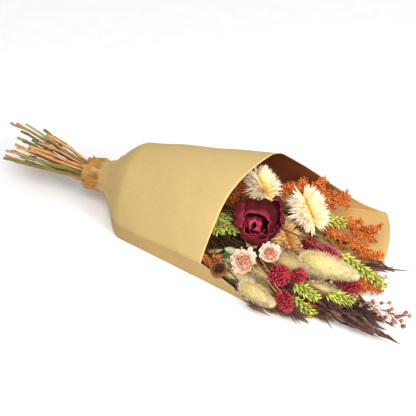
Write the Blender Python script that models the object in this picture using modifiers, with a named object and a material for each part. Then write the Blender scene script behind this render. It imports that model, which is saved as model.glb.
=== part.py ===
"""A mixed bouquet of dried flowers in a kraft paper sleeve, lying on a table.

+X runs along the bouquet from the cut stems to the flowers, +Y to its far side and +Z up.
The sleeve's flat underside lies at z = 0, with the origin near the middle of the bouquet's weight.
Lengths are written in millimetres, and MM turns them into metres where a mesh is made.
"""

import math
import random

import bmesh
import bpy
import numpy as np

MM = 0.001
SEED = 11
GAP = 0.3

# The sleeve: a flat-bottomed paper cone that is gathered into a round neck.
PAPER = 0.8
NECK_END_X = -199.0
NECK_TO_X = -176.0
FULL_FROM_X = -120.0
NECK_CENTRE = (5.0, 30.0)
NECK_RADIUS = 19.4
PLEAT_COUNT = 9
PLEAT_DEPTH = 1.7
PLEATS_END_X = -122.0
NECK_STATIONS = 8
MOUTH_STATIONS = (0.22, 0.46, 0.72, 1.0)
SLEEVE_MID_Y = -4.1
SLEEVE_HALF_WIDTH = 87.1
SLEEVE_WIDENING = 0.222
SLEEVE_HEIGHT = 104.0
SLEEVE_RISE = 0.12

# The bundle of stems in the neck and the fan of cut ends behind it.
STEM_PITCH = 4.0
STEM_RINGS = 3
STEM_NECK_RADIUS = 1.85
TIE_TURNS = 3
TIE_CORD = 2.2
TIE_STEPS = 16
TIE_X = -185.0
BUNDLE_FROM_X = -197.0
BUNDLE_TO_X = -170.0
TAIL_AIM = (-305.0, 15.0, 43.0)
TAIL_SPREAD_Y = 3.0
TAIL_SPREAD_Z = 2.0
TAIL_TWIST = math.radians(16)
TAIL_FROM_X = -320.0
TAIL_TO_X = -266.0

# Each rib of the sleeve: how far across and up its section it lies, and the x where the mouth cuts it.
RIBS = (
    (-1.00, 0.00, 100),
    (-1.00, 0.12, 50),
    (-1.00, 0.23, 2),
    (-0.92, 0.44, 6),
    (-0.79, 0.64, 11),
    (-0.60, 0.79, 13),
    (-0.37, 0.90, 16),
    (-0.12, 0.97, 22),
    (0.12, 1.00, 29),
    (0.34, 0.99, 34),
    (0.52, 0.95, 37),
    (0.68, 0.86, 41),
    (0.81, 0.72, 48),
    (0.90, 0.54, 71),
    (0.96, 0.34, 90),
    (0.98, 0.10, 127),
    (1.00, 0.00, 162),
    (0.84, 0.00, 172),
    (0.62, 0.00, 181),
    (0.38, 0.00, 187),
    (0.14, 0.00, 189),
    (-0.10, 0.00, 188),
    (-0.34, 0.00, 184),
    (-0.56, 0.00, 175),
    (-0.74, 0.00, 160),
    (-0.88, 0.00, 132),
)
RIB_ACROSS, RIB_UP, RIB_MOUTH = (np.array(column, float) for column in zip(*RIBS))

# Where each head grows: base, tip, and its widest radius.
ROSE = ((44, -36, 56), (60, -54, 83), 28)
EVERLASTINGS = (
    ((30, 20, 63), (37, 16, 81), 28),
    ((92, 16, 53), (100, 6, 68), 30),
    ((80, -16, 29), (88, -24, 41), 18),
)
SPRAY_ROSE_FORK = (20, -60, 22)
SPRAY_ROSES = (
    ((44, -79, 37), (54, -92, 42), 18),
    ((72, -60, 43), (78, -75, 49), 14.5),
    ((46, -50, 38), (50, -58, 45), 9),
)
BUNNY_TAILS = (
    ((28, -87, 13), (62, -86, 15), 11.5),
    ((66, -104, 24), (109, -116, 20), 10.5),
    ((77, -57, 33), (139, -58, 28), 10.5),
    ((117, -66, 52), (181, -63, 43), 13.5),
    ((134, -72, 21), (170, -70, 18), 7.5),
    ((60, -80, 21), (88, -88, 20), 6.5),
)
CRIMSON_HEADS = (
    ((93, -85, 34), (109, -97, 48), 13),
    ((116, -82, 39), (126, -91, 50), 8.5),
    ((101, -101, 22), (119, -117, 17), 10),
    ((100, -14, 33), (113, -21, 43), 8.5),
    ((128, -28, 43), (154, -36, 39), 9.5),
    ((156, -61, 28), (182, -64, 27), 10),
)
WHEAT_EARS = (
    ((-5, -45, 46), (45, -58, 50), 8),
    ((105, 28, 38), (141, 34, 36), 6.5),
    ((148, -21, 33), (212, -35, 14), 7),
    ((118, -82, 28), (154, -88, 21), 6.5),
    ((114, -97, 16), (150, -108, 11), 6.5),
    ((154, -79, 22), (190, -76, 18), 5.5),
)
SIDE_EARS = ((31, 12, 2), (30, -18, -4))
ORANGE_SPRAYS = (
    ((-26, -16, 44), (16, 18, 62), 16),
    ((40, 52, 44), (90, 84, 42), 14),
    ((75, 64, 24), (119, 90, 30), 15),
    ((112, 50, 18), (168, 56, 16), 17),
    ((134, 24, 18), (186, 11, 16), 12),
    ((164, -47, 13), (202, -27, 14), 10),
    ((-14, -77, 21), (28, -78, 25), 8),
)
DARK_OATS = (
    ((146, -80, 14), (249, -103, 9), 13),
    ((54, -101, 11), (126, -119, 9), 4),
    ((153, -70, 9), (237, -90, 11), 11),
    ((168, -9, 16), (226, 3, 18), 8),
)
FLAX = ((176, -72, 19), (244, -88, 18), 20)
EUCALYPTUS = ((-4, -58, 33), (30, -66, 38), 10)
LEAF_LENGTH = 19
ROSETTE = ((28, -91, 27), (40, -106, 32), 8)

# How the strands settle: they push each other aside and straighten by turns.
SETTLE_STEPS = 420
SETTLE_LAST = 140
CLEARANCE = 0.7
SEGMENT_LENGTH = 36.0
SPOKES = 10

COLOURS = {
    "kraft": ((0.62, 0.43, 0.22), 0.85),
    "twine": ((0.55, 0.42, 0.26), 0.9),
    "burgundy": ((0.13, 0.008, 0.03), 0.7),
    "cream": ((0.86, 0.74, 0.52), 0.75),
    "pink": ((0.84, 0.55, 0.45), 0.75),
    "straw_yellow": ((0.75, 0.69, 0.42), 0.95),
    "crimson": ((0.38, 0.012, 0.06), 0.8),
    "lime": ((0.36, 0.42, 0.10), 0.75),
    "orange": ((0.48, 0.13, 0.035), 0.85),
    "dark_brown": ((0.045, 0.02, 0.015), 0.8),
    "flax_brown": ((0.44, 0.22, 0.15), 0.6),
    "grey_green": ((0.16, 0.20, 0.11), 0.8),
    "rust": ((0.25, 0.08, 0.035), 0.85),
    "tan_stem": ((0.62, 0.36, 0.19), 0.75),
    "olive_stem": ((0.20, 0.22, 0.07), 0.75),
    "ochre_stem": ((0.52, 0.33, 0.12), 0.75),
}


def lerp(a, b, t):
    return a + (b - a) * t


def smooth_step(t):
    t = np.clip(t, 0, 1)
    return t * t * (3 - 2 * t)


def unit(vector):
    vector = np.asarray(vector, float)
    return vector / np.linalg.norm(vector)


def axes_along(direction):
    """Three axes as rows: two across the direction, and the direction itself."""
    along = unit(direction)
    guide = (0, 0, 1) if abs(along[2]) < 0.9 else (1, 0, 0)
    side = unit(np.cross(guide, along))
    return np.array((side, np.cross(along, side), along))


# The sleeve's section, for the paper itself and for keeping the strands inside it.


def sleeve_section(x):
    """The (y, z) of every rib where it passes x, for an array of x."""
    x = np.asarray(x, float)[..., None]
    half_width = SLEEVE_HALF_WIDTH + SLEEVE_WIDENING * x
    height = SLEEVE_HEIGHT + SLEEVE_RISE * x
    turn = np.arctan2((RIB_UP - 0.45) * SLEEVE_HEIGHT, RIB_ACROSS * SLEEVE_HALF_WIDTH)
    open_up = smooth_step((x - NECK_TO_X) / (FULL_FROM_X - NECK_TO_X))
    y = lerp(NECK_CENTRE[0] + NECK_RADIUS * np.cos(turn), SLEEVE_MID_Y + RIB_ACROSS * half_width, open_up)
    z = lerp(NECK_CENTRE[1] + NECK_RADIUS * np.sin(turn), RIB_UP * height, open_up)
    return np.stack((y, z), -1)


def keep_inside(points, radii):
    """Moves points that press on the paper back inside it, and lifts those that press on the table."""
    ribs = sleeve_section(points[:, 0])
    edges = np.roll(ribs, -1, axis=1) - ribs
    inward = np.stack((edges[..., 1], -edges[..., 0]), -1)
    inward /= np.linalg.norm(inward, axis=-1, keepdims=True) + 1e-9
    offset = points[:, None, 1:] - ribs
    share = (offset * edges).sum(-1) / ((edges * edges).sum(-1) + 1e-9)
    mouth = lerp(RIB_MOUTH, np.roll(RIB_MOUTH, -1), np.clip(share, 0, 1))
    short = radii[:, None] + PAPER + CLEARANCE - (offset * inward).sum(-1)
    short[(points[:, :1] > mouth + 2) | (abs(share - 0.5) > 0.6)] = 0
    worst = short.argmax(axis=1)
    rows = np.arange(len(points))
    push = np.clip(short[rows, worst], 0, None)[:, None] * inward[rows, worst]
    points[:, 1:] += push
    points[:, 2] = np.maximum(points[:, 2], radii + PAPER + GAP)


# Plants, heads and the places of their stems in the neck.


class Plant:
    """One cut stem with its head. The head's body is a list of capsules in the head's own axes."""

    def __init__(self, name, place, body, head_radius, sides):
        base, tip, self.width = place
        self.name = name
        self.base = np.array(base, float)
        self.length = float(np.linalg.norm(np.subtract(tip, base)))
        self.axes = axes_along(np.subtract(tip, base))
        self.body = [(np.array(a, float), np.array(b, float), r) for a, b, r in body]
        self.head_radius = head_radius
        self.sides = sides

    def to_world(self, local):
        return self.base + np.asarray(local, float) @ self.axes


def spindle_body(length, radius):
    """A capsule that fills a long head."""
    reach = min(radius, length / 2)
    return [((0, 0, reach), (0, 0, max(length - reach, reach)), radius)]


def disc_body(radius, low, height):
    """Spokes that fill a wide bloom from a low point up to its rim, on a narrow foot."""
    thick = height / 2
    foot = 0.27 * radius
    spokes = [((0, 0, foot), (0, 0, low + thick), foot)]
    for k in range(SPOKES):
        turn = 2 * math.pi * k / SPOKES
        out = radius - thick
        top = low + thick
        spokes.append(((0, 0, top), (out * math.cos(turn), out * math.sin(turn), top + 1), thick))
    return spokes


def side_twigs(length, spread, count, seed, first=0.15, forward=(0.9, 1.4)):
    """Twigs that leave a spray's axis by turns, as (from, to), in the head's axes."""
    draw = random.Random(seed)
    twigs = []
    for k in range(count):
        start = lerp(first, 0.86, k / (count - 1)) * length
        turn = k * 2.4 + draw.uniform(-0.3, 0.3)
        out = spread * draw.uniform(0.7, 1.0) * lerp(1.0, 0.6, start / length)
        end = (out * math.cos(turn), out * math.sin(turn), start + draw.uniform(*forward) * out)
        twigs.append(((0, 0, start), end))
    return twigs


def twig_body(length, twigs, radius):
    return [((0, 0, 0), (0, 0, length - radius), 1.6)] + [(a, b, radius) for a, b in twigs]


def spray_rose_body(fork):
    """Twigs from the fork to the three blooms, and the blooms."""
    body = []
    for base, tip, width in SPRAY_ROSES:
        start = np.subtract(base, fork)
        end = np.subtract(tip, fork)
        body.append(((0, 0, 0), start, 1.2))
        middle = lerp(start, end, 0.6)
        body.append((middle, middle + (0.1, 0, 0), width * 0.9))
    return body


TWIG_COUNTS = {"orange": 9, "oat": 8, "flax": 12, "eucalyptus": 5}


def orange_twigs(length, width, number):
    return side_twigs(length, width, TWIG_COUNTS["orange"], SEED + number)


def oat_twigs(length, width, number):
    return side_twigs(length * 0.7, width, TWIG_COUNTS["oat"], SEED + 20 + number, 0.05, (1.8, 2.6))


def flax_twigs(length, width):
    return side_twigs(length, width, TWIG_COUNTS["flax"], SEED + 40, 0.3)


def eucalyptus_twigs(length, width):
    twigs = side_twigs(length, width, TWIG_COUNTS["eucalyptus"], SEED + 50)
    return [(start, start + unit(np.subtract(stop, start)) * LEAF_LENGTH) for start, stop in twigs]


def all_plants():
    plants = [Plant("rose", ROSE, disc_body(ROSE[2] - 1, 7, 24), 2.0, 6)]
    for n, place in enumerate(EVERLASTINGS, 1):
        body = disc_body(place[2] - 1, 1, 9) + disc_body(0.8 * place[2], 7, 13)
        plants.append(Plant(f"everlasting_{n}", place, body, 1.3, 4))
    fork_place = (SPRAY_ROSE_FORK, np.add(SPRAY_ROSE_FORK, (40, 0, 0)), 15)
    spray_rose = Plant("spray_rose", fork_place, [], 1.4, 4)
    spray_rose.axes = np.eye(3)
    spray_rose.body = [(np.array(a), np.array(b), r) for a, b, r in spray_rose_body(SPRAY_ROSE_FORK)]
    plants.append(spray_rose)
    for n, place in enumerate(BUNNY_TAILS, 1):
        length = float(np.linalg.norm(np.subtract(place[1], place[0])))
        plants.append(Plant(f"bunny_tail_{n}", place, spindle_body(length, place[2]), 0.9, 4))
    for n, place in enumerate(CRIMSON_HEADS, 1):
        length = float(np.linalg.norm(np.subtract(place[1], place[0])))
        plants.append(Plant(f"crimson_{n}", place, spindle_body(length, place[2]), 1.0, 4))
    for n, place in enumerate(WHEAT_EARS, 1):
        length = float(np.linalg.norm(np.subtract(place[1], place[0])))
        body = spindle_body(length, place[2])
        if n == 1:
            to_ear = axes_along(np.subtract(place[1], place[0])).T
            body += [((0, 0, 0), np.array(offset) @ to_ear, place[2] - 1) for offset in SIDE_EARS]
        plants.append(Plant(f"wheat_ear_{n}", place, body, 1.2, 4))
    for n, place in enumerate(ORANGE_SPRAYS, 1):
        length = float(np.linalg.norm(np.subtract(place[1], place[0])))
        body = twig_body(length, orange_twigs(length, place[2], n), 3.0)
        plants.append(Plant(f"orange_spray_{n}", place, body, 1.1, 4))
    for n, place in enumerate(DARK_OATS, 1):
        length = float(np.linalg.norm(np.subtract(place[1], place[0])))
        body = twig_body(length, oat_twigs(length, place[2], n), 2.6)
        plants.append(Plant(f"dark_oat_{n}", place, body, 1.1, 4))
    length = float(np.linalg.norm(np.subtract(FLAX[1], FLAX[0])))
    plants.append(Plant("flax", FLAX, twig_body(length, flax_twigs(length, FLAX[2]), 1.8), 1.1, 4))
    length = float(np.linalg.norm(np.subtract(EUCALYPTUS[1], EUCALYPTUS[0])))
    body = twig_body(length, eucalyptus_twigs(length, EUCALYPTUS[2]), 4.5)
    plants.append(Plant("eucalyptus", EUCALYPTUS, body, 1.2, 4))
    length = float(np.linalg.norm(np.subtract(ROSETTE[1], ROSETTE[0])))
    plants.append(Plant("rosette", ROSETTE, spindle_body(length, ROSETTE[2]), 1.2, 4))
    return plants


def hex_slots():
    """Places for the stems in the neck, as (y, z) from its centre: rings of a honeycomb."""
    slots = []
    for a in range(-STEM_RINGS, STEM_RINGS + 1):
        for b in range(-STEM_RINGS, STEM_RINGS + 1):
            if abs(a + b) <= STEM_RINGS:
                slots.append((STEM_PITCH * (a + b / 2), STEM_PITCH * b * math.sqrt(3) / 2))
    return np.array(slots)


def give_slots(plants):
    """Pairs stems with places in the neck, so that neighbours there stay neighbours at their heads."""
    slots = hex_slots()
    reach = STEM_PITCH * STEM_RINGS
    wanted = np.array([((p.base[1] + 25) / 75 * reach, (p.base[2] - 32) / 26 * reach) for p in plants])
    order = list(range(len(plants)))
    cost = ((wanted[:, None] - slots[None]) ** 2).sum(-1)
    changed = True
    while changed:
        changed = False
        for i in range(len(order)):
            for j in range(i + 1, len(order)):
                now = cost[i, order[i]] + cost[j, order[j]]
                if cost[i, order[j]] + cost[j, order[i]] < now - 1e-9:
                    order[i], order[j] = order[j], order[i]
                    changed = True
    for plant, slot in zip(plants, order):
        plant.slot = slots[slot]


def first_route(plant):
    """A smooth first guess at the stem's way from the neck to the head's base."""
    start = np.array((BUNDLE_TO_X, NECK_CENTRE[0] + plant.slot[0], NECK_CENTRE[1] + plant.slot[1]))
    span = np.linalg.norm(plant.base - start)
    leave = np.array((1.0, 0, 0)) * span
    arrive = plant.axes[2] * span * 0.7
    count = max(5, round(span / SEGMENT_LENGTH))
    route = []
    for t in np.linspace(0, 1, count + 1):
        route.append(
            (2 * t**3 - 3 * t**2 + 1) * start
            + (t**3 - 2 * t**2 + t) * leave
            + (3 * t**2 - 2 * t**3) * plant.base
            + (t**3 - t**2) * arrive
        )
    return np.array(route)


def nearest_on_segments(p0, p1, q0, q1):
    """How far along each of two arrays of segments their nearest points lie, from 0 to 1."""
    d1, d2, r = p1 - p0, q1 - q0, p0 - q0
    a = (d1 * d1).sum(-1) + 1e-9
    e = (d2 * d2).sum(-1) + 1e-9
    f = (d2 * r).sum(-1)
    c = (d1 * r).sum(-1)
    b = (d1 * d2).sum(-1)
    denominator = a * e - b * b
    s = np.where(denominator > 1e-6, np.clip((b * f - c * e) / np.maximum(denominator, 1e-6), 0, 1), 0.5)
    t = np.clip((b * s + f) / e, 0, 1)
    s = np.clip((b * t - c) / a, 0, 1)
    return s, t


class Bundle:
    """All strands as points joined by segments, with the points of each head moving as one."""

    def __init__(self, plants):
        self.plants = plants
        points, radii, ends, owners, thickness = [], [], [], [], []
        self.chains, self.heads = [], []
        for number, plant in enumerate(plants):
            route = first_route(plant)
            first = len(points)
            count = len(route)
            points.extend(route)
            taper = [lerp(STEM_NECK_RADIUS, plant.head_radius, min(1, 1.6 * k / count)) for k in range(count)]
            radii.extend(taper)
            for k in range(count - 1):
                ends.append((first + k, first + k + 1))
                owners.append(number)
                thickness.append(taper[k])
            self.chains.append((first, first + count - 1))
            head_first = len(points)
            for a, b, radius in plant.body:
                ends.append((len(points), len(points) + 1))
                points.extend((plant.to_world(a), plant.to_world(b)))
                radii.extend((radius, radius))
                owners.append(number)
                thickness.append(radius)
            self.heads.append([first + count - 1] + list(range(head_first, len(points))))
        self.points = np.array(points)
        self.radii = np.array(radii)
        self.ends = np.array(ends)
        self.owners = np.array(owners)
        self.thickness = np.array(thickness)
        self.start = self.points.copy()
        self.near = None

    def find_near(self):
        a, b = self.points[self.ends[:, 0]], self.points[self.ends[:, 1]]
        middle = (a + b) / 2
        reach = np.linalg.norm(b - a, axis=1) / 2 + self.thickness + 6
        i, j = np.triu_indices(len(middle), 1)
        close = np.linalg.norm(middle[i] - middle[j], axis=1) < reach[i] + reach[j]
        keep = close & (self.owners[i] != self.owners[j])
        self.near = i[keep], j[keep]

    def push_apart(self, strength):
        i, j = self.near
        p0, p1 = self.points[self.ends[i, 0]], self.points[self.ends[i, 1]]
        q0, q1 = self.points[self.ends[j, 0]], self.points[self.ends[j, 1]]
        s, t = nearest_on_segments(p0, p1, q0, q1)
        between = lerp(p0, p1, s[:, None]) - lerp(q0, q1, t[:, None])
        apart = np.linalg.norm(between, axis=1)
        short = self.thickness[i] + self.thickness[j] + CLEARANCE - apart
        hit = short > 0
        way = between[hit] / np.maximum(apart[hit], 1e-6)[:, None]
        push = way * (strength * short[hit])[:, None]
        moved = np.zeros_like(self.points)
        for column, share, sign in (
            (self.ends[i[hit], 0], 1 - s[hit], 1),
            (self.ends[i[hit], 1], s[hit], 1),
            (self.ends[j[hit], 0], 1 - t[hit], -1),
            (self.ends[j[hit], 1], t[hit], -1),
        ):
            np.add.at(moved, column, sign * push * (0.3 + 0.7 * share)[:, None])
        self.points += np.clip(moved, -4, 4)

    def hold_heads(self, pull):
        """Each head keeps its own shape, and leans back to where it was placed."""
        for members in self.heads:
            shift = (self.points[members] - self.start[members]).mean(axis=0) * (1 - pull)
            self.points[members] = self.start[members] + shift

    def straighten(self, amount):
        for first, last in self.chains:
            inner = self.points[first + 1 : last]
            middle = (self.points[first : last - 1] + self.points[first + 2 : last + 1]) / 2
            self.points[first + 1 : last] = lerp(inner, middle, amount)

    def hold_ends(self):
        for plant, (first, last) in zip(self.plants, self.chains):
            self.points[first] = self.start[first]
            step = self.points[last] - plant.axes[2] * 12
            self.points[last - 1] = lerp(self.points[last - 1], step, 0.08)
            self.points[first + 1, 1:] = lerp(self.points[first + 1, 1:], self.start[first, 1:], 0.1)

    def settle(self):
        for step in range(SETTLE_STEPS):
            if step % 10 == 0:
                self.find_near()
            ending = step >= SETTLE_STEPS - SETTLE_LAST
            if not ending:
                self.straighten(0.12)
            self.push_apart(0.35)
            keep_inside(self.points, self.radii)
            self.hold_heads(0.0 if ending else 0.04)
            if not ending:
                self.hold_ends()
            for first, _ in self.chains:
                self.points[first] = self.start[first]
        self.points = np.round(self.points, 2)
        for plant, (first, last), members in zip(self.plants, self.chains, self.heads):
            plant.route = self.points[first : last + 1]
            plant.radii = self.radii[first : last + 1]
            plant.base = plant.base + (self.points[members[0]] - self.start[members[0]])


def tail_route(plant, draw):
    """The cut end of the stem behind the neck, tip first."""
    neck = np.array((BUNDLE_FROM_X, *NECK_CENTRE))
    aim = np.array(TAIL_AIM)
    end_x = draw.uniform(TAIL_FROM_X, TAIL_TO_X)
    wobble = draw.uniform(-2, 2), draw.uniform(-2, 2)
    route = []
    for share in (1.0, 0.5):
        x = lerp(neck[0], end_x, share)
        out = (neck[0] - x) / (neck[0] - aim[0])
        turn = TAIL_TWIST * out
        y = plant.slot[0] * math.cos(turn) - plant.slot[1] * math.sin(turn)
        z = plant.slot[0] * math.sin(turn) + plant.slot[1] * math.cos(turn)
        centre = lerp(neck, aim, out)
        y = centre[1] + y * lerp(1, TAIL_SPREAD_Y, out) + wobble[0] * share
        z = centre[2] + z * lerp(1, TAIL_SPREAD_Z, out) + wobble[1] * share
        route.append((x, y, z))
    route.append((neck[0], neck[1] + plant.slot[0], neck[2] + plant.slot[1]))
    return route


# Meshes.


def material(name):
    colour, roughness = COLOURS[name]
    made = bpy.data.materials.get(name) or bpy.data.materials.new(name)
    made.use_nodes = True
    shader = made.node_tree.nodes["Principled BSDF"]
    shader.inputs["Base Color"].default_value = (*colour, 1)
    shader.inputs["Roughness"].default_value = roughness
    shader.inputs["Metallic"].default_value = 0
    made.diffuse_color = (*colour, 1)
    return made


def add_object(name, mesh, collection):
    made = bpy.data.objects.new(name, mesh)
    collection.objects.link(made)
    return made


def mesh_of(work, matrix=None):
    """A mesh in metres from a bmesh in millimetres. The matrix holds three rows of axes and a place."""
    mesh = bpy.data.meshes.new("piece")
    bmesh.ops.recalc_face_normals(work, faces=work.faces[:])
    work.to_mesh(mesh)
    work.free()
    points = np.empty(len(mesh.vertices) * 3)
    mesh.vertices.foreach_get("co", points)
    points = points.reshape(-1, 3)
    if matrix is not None:
        axes, place = matrix
        points = points @ axes + place
    mesh.vertices.foreach_set("co", (points * MM).ravel())
    return mesh


def tube(points, radii, sides):
    """A tube through points, with flat ends. Four or six sides, as thin stems need no more."""
    curve = bpy.data.curves.new("tube", "CURVE")
    curve.dimensions = "3D"
    curve.bevel_depth = MM
    curve.bevel_resolution = (sides - 4) // 2
    curve.use_fill_caps = True
    spline = curve.splines.new("POLY")
    spline.points.add(len(points) - 1)
    for knot, point, radius in zip(spline.points, points, radii):
        knot.co = (*(np.asarray(point, float) * MM), 1)
        knot.radius = radius
    guide = add_object("tube", curve, bpy.context.scene.collection)
    bpy.context.view_layer.update()
    mesh = bpy.data.meshes.new_from_object(guide.evaluated_get(bpy.context.evaluated_depsgraph_get()))
    work = bmesh.new()
    work.from_mesh(mesh)
    bmesh.ops.remove_doubles(work, verts=work.verts[:], dist=1e-7)
    bmesh.ops.recalc_face_normals(work, faces=work.faces[:])
    work.to_mesh(mesh)
    work.free()
    bpy.data.objects.remove(guide)
    return mesh


def twig(start, end, start_radius, end_radius, sides=3):
    """A straight tapered twig between two points."""
    start, end = np.asarray(start, float), np.asarray(end, float)
    work = bmesh.new()
    length = float(np.linalg.norm(end - start))
    bmesh.ops.create_cone(
        work, cap_ends=True, segments=sides, radius1=start_radius, radius2=end_radius, depth=length
    )
    return mesh_of(work, (axes_along(end - start), (start + end) / 2))


def turned(profile, sides, start, direction, closed=False):
    """A turned shape from a profile of (radius, height) points, by a Screw modifier."""
    edges = [(k, k + 1) for k in range(len(profile) - 1)]
    if closed:
        edges.append((len(profile) - 1, 0))
    line = bpy.data.meshes.new("profile")
    line.from_pydata([(radius, 0, height) for radius, height in profile], edges, [])
    guide = add_object("profile", line, bpy.context.scene.collection)
    screw = guide.modifiers.new("turn", "SCREW")
    screw.axis = "Z"
    screw.steps = screw.render_steps = sides
    screw.use_merge_vertices = True
    screw.merge_threshold = 1e-4
    bpy.context.view_layer.update()
    work = bmesh.new()
    work.from_object(guide, bpy.context.evaluated_depsgraph_get())
    bpy.data.objects.remove(guide)
    return mesh_of(work, (axes_along(direction), np.asarray(start, float)))


def bud(start, stop, stalk, length, width):
    """A thin stalk that swells into a pointed bud at its far end."""
    start, stop = np.asarray(start, float), np.asarray(stop, float)
    reach = float(np.linalg.norm(stop - start))
    neck = max(reach - length, 0.3 * reach)
    profile = ((0, reach), (width / 2, lerp(neck, reach, 0.4)), (stalk, neck), (0, -0.8))
    return turned(profile, 3, start, stop - start)


def berry(start, stop, stalk, radius):
    """A round seed head on a wiry stalk."""
    start, stop = np.asarray(start, float), np.asarray(stop, float)
    reach = float(np.linalg.norm(stop - start))
    profile = (
        (0, reach), (radius, reach - radius * 0.9), (stalk, reach - radius * 2.1), (0, -0.8),
    )
    return turned(profile, 4, start, stop - start)


def spindle(start, direction, length, width, thickness, widest=0.4, roll=(0, 0, 1)):
    """A flat, pointed lozenge such as a bract, a grain or a chaffy leaf."""
    work = bmesh.new()
    bmesh.ops.create_cone(work, cap_ends=False, segments=4, radius1=1, radius2=0, depth=1)
    bmesh.ops.holes_fill(work, edges=work.edges[:])
    bmesh.ops.poke(work, faces=[face for face in work.faces if len(face.verts) == 4])
    for vertex in work.verts:
        x, y, z = vertex.co
        if abs(x) + abs(y) > 0.5:
            vertex.co = (x * width / 2, y * thickness / 2, widest * length)
        else:
            vertex.co = (0, 0, length if z > 0 else 0)
    along = unit(direction)
    across = np.cross(roll, along)
    if np.linalg.norm(across) < 0.1:
        across = np.cross((1, 0, 0), along)
    across = unit(across)
    axes = np.array((across, np.cross(along, across), along))
    return mesh_of(work, (axes, np.asarray(start, float)))


def ball(centre, radius):
    work = bmesh.new()
    bmesh.ops.create_icosphere(work, subdivisions=1, radius=radius)
    return mesh_of(work, (np.eye(3), np.asarray(centre, float)))


def tufted(start, direction, length, radius, segments, rings, tuft, lean):
    """A dense head: an egg whose every facet is drawn out into a pointed tuft that leans to the tip."""
    work = bmesh.new()
    bmesh.ops.create_uvsphere(work, u_segments=segments, v_segments=rings, radius=1)
    middle = length / 2
    for vertex in work.verts:
        x, y, z = vertex.co
        swell = 1 - 0.25 * z
        vertex.co = (x * radius * swell, y * radius * swell, middle + z * (middle - tuft * 0.4))
    tips = bmesh.ops.poke(work, faces=work.faces[:])["verts"]
    work.normal_update()
    for vertex in tips:
        out = unit((vertex.co.x, vertex.co.y, (vertex.co.z - middle) * 0.5 + 1e-6))
        vertex.co.x += out[0] * tuft
        vertex.co.y += out[1] * tuft
        vertex.co.z += out[2] * tuft * 0.5 + lean
    bmesh.ops.triangulate(work, faces=work.faces[:])
    low = min(vertex.co.z for vertex in work.verts)
    for vertex in work.verts:
        vertex.co.z += GAP - low
    return mesh_of(work, (axes_along(direction), np.asarray(start, float)))


def petal(place, turn, half_angle, foot, rim, low, height, drop, thickness, columns, roll):
    """A cupped petal on a round bloom, from its foot near the axis out and up to its rim."""
    work = bmesh.new()
    bmesh.ops.create_grid(work, x_segments=columns, y_segments=2, size=1)
    for vertex in work.verts:
        s, t = vertex.co.x, (vertex.co.y + 1) / 2
        angle = turn + half_angle * s * (0.45 + 0.55 * math.sin(math.pi * 0.5 * min(1, t * 1.3)))
        radius = foot + (rim - foot) * t**0.8 + roll * max(0, t - 0.6)
        rise = lerp(low, height, t**1.25) - drop * s * s * t
        vertex.co = (radius * math.cos(angle), radius * math.sin(angle), rise)
    bmesh.ops.triangulate(work, faces=work.faces[:])
    bmesh.ops.solidify(work, geom=work.faces[:], thickness=thickness)
    return mesh_of(work, place)


def leaf(start, direction, length, width, thickness, droop=0.0):
    """An oval leaf in two halves along its rib."""
    work = bmesh.new()
    bmesh.ops.create_grid(work, x_segments=2, y_segments=2, size=1)
    for vertex in work.verts:
        s, t = vertex.co.x, (vertex.co.y + 1) / 2
        wide = width / 2 * (0.25 + 0.75 * math.sin(math.pi * (0.12 + 0.8 * t)))
        vertex.co = (s * wide, -abs(s) * width * 0.12 + droop * t * t, t * length)
    bmesh.ops.triangulate(work, faces=work.faces[:])
    bmesh.ops.solidify(work, geom=work.faces[:], thickness=thickness)
    return mesh_of(work, (axes_along(direction), np.asarray(start, float)))


def shells_of(work):
    """The connected groups of faces of a mesh, each with its signed volume."""
    left = set(work.faces)
    groups = []
    while left:
        stack = [left.pop()]
        group = list(stack)
        while stack:
            for edge in stack.pop().edges:
                for face in edge.link_faces:
                    if face in left:
                        left.remove(face)
                        stack.append(face)
                        group.append(face)
        volume = 0.0
        for face in group:
            a = face.verts[0].co
            for b, c in zip(face.verts[1:-1], face.verts[2:]):
                volume += a.dot(b.co.cross(c.co)) / 6
        groups.append((volume, group))
    return sorted(groups, key=lambda shell: -shell[0])


def keep_one_body(mesh):
    """Fills sealed hollows and drops loose scraps: only the outer skin of the largest body stays."""
    work = bmesh.new()
    work.from_mesh(mesh)
    for _, group in shells_of(work)[1:]:
        bmesh.ops.delete(work, geom=group, context="FACES")
    work.to_mesh(mesh)
    work.free()


def fuse(name, meshes, colour, parts, smooth_angle=40):
    """Joins the meshes into one solid by a Boolean union."""
    body = add_object(name, meshes[0], parts)
    if len(meshes) > 1:
        helpers = bpy.data.collections.new(name + "_pieces")
        bpy.context.scene.collection.children.link(helpers)
        for number, mesh in enumerate(meshes[1:]):
            piece = add_object(f"{name}_piece_{number}", mesh, helpers)
            piece.hide_render = True
            piece.display_type = "WIRE"
        union = body.modifiers.new("union", "BOOLEAN")
        union.operation = "UNION"
        union.operand_type = "COLLECTION"
        union.collection = helpers
        union.solver = "MANIFOLD"
        bpy.context.view_layer.update()
        graph = bpy.context.evaluated_depsgraph_get()
        joined = bpy.data.meshes.new_from_object(body.evaluated_get(graph))
        body.modifiers.clear()
        body.data = joined
        for piece in list(helpers.objects):
            bpy.data.objects.remove(piece)
        bpy.data.collections.remove(helpers)
    keep_one_body(body.data)
    body.data.name = name
    body.data.materials.clear()
    body.data.materials.append(material(colour))
    body.data.shade_smooth()
    body.data.set_sharp_from_angle(angle=math.radians(smooth_angle))
    return body


# Sub-parts.


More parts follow.
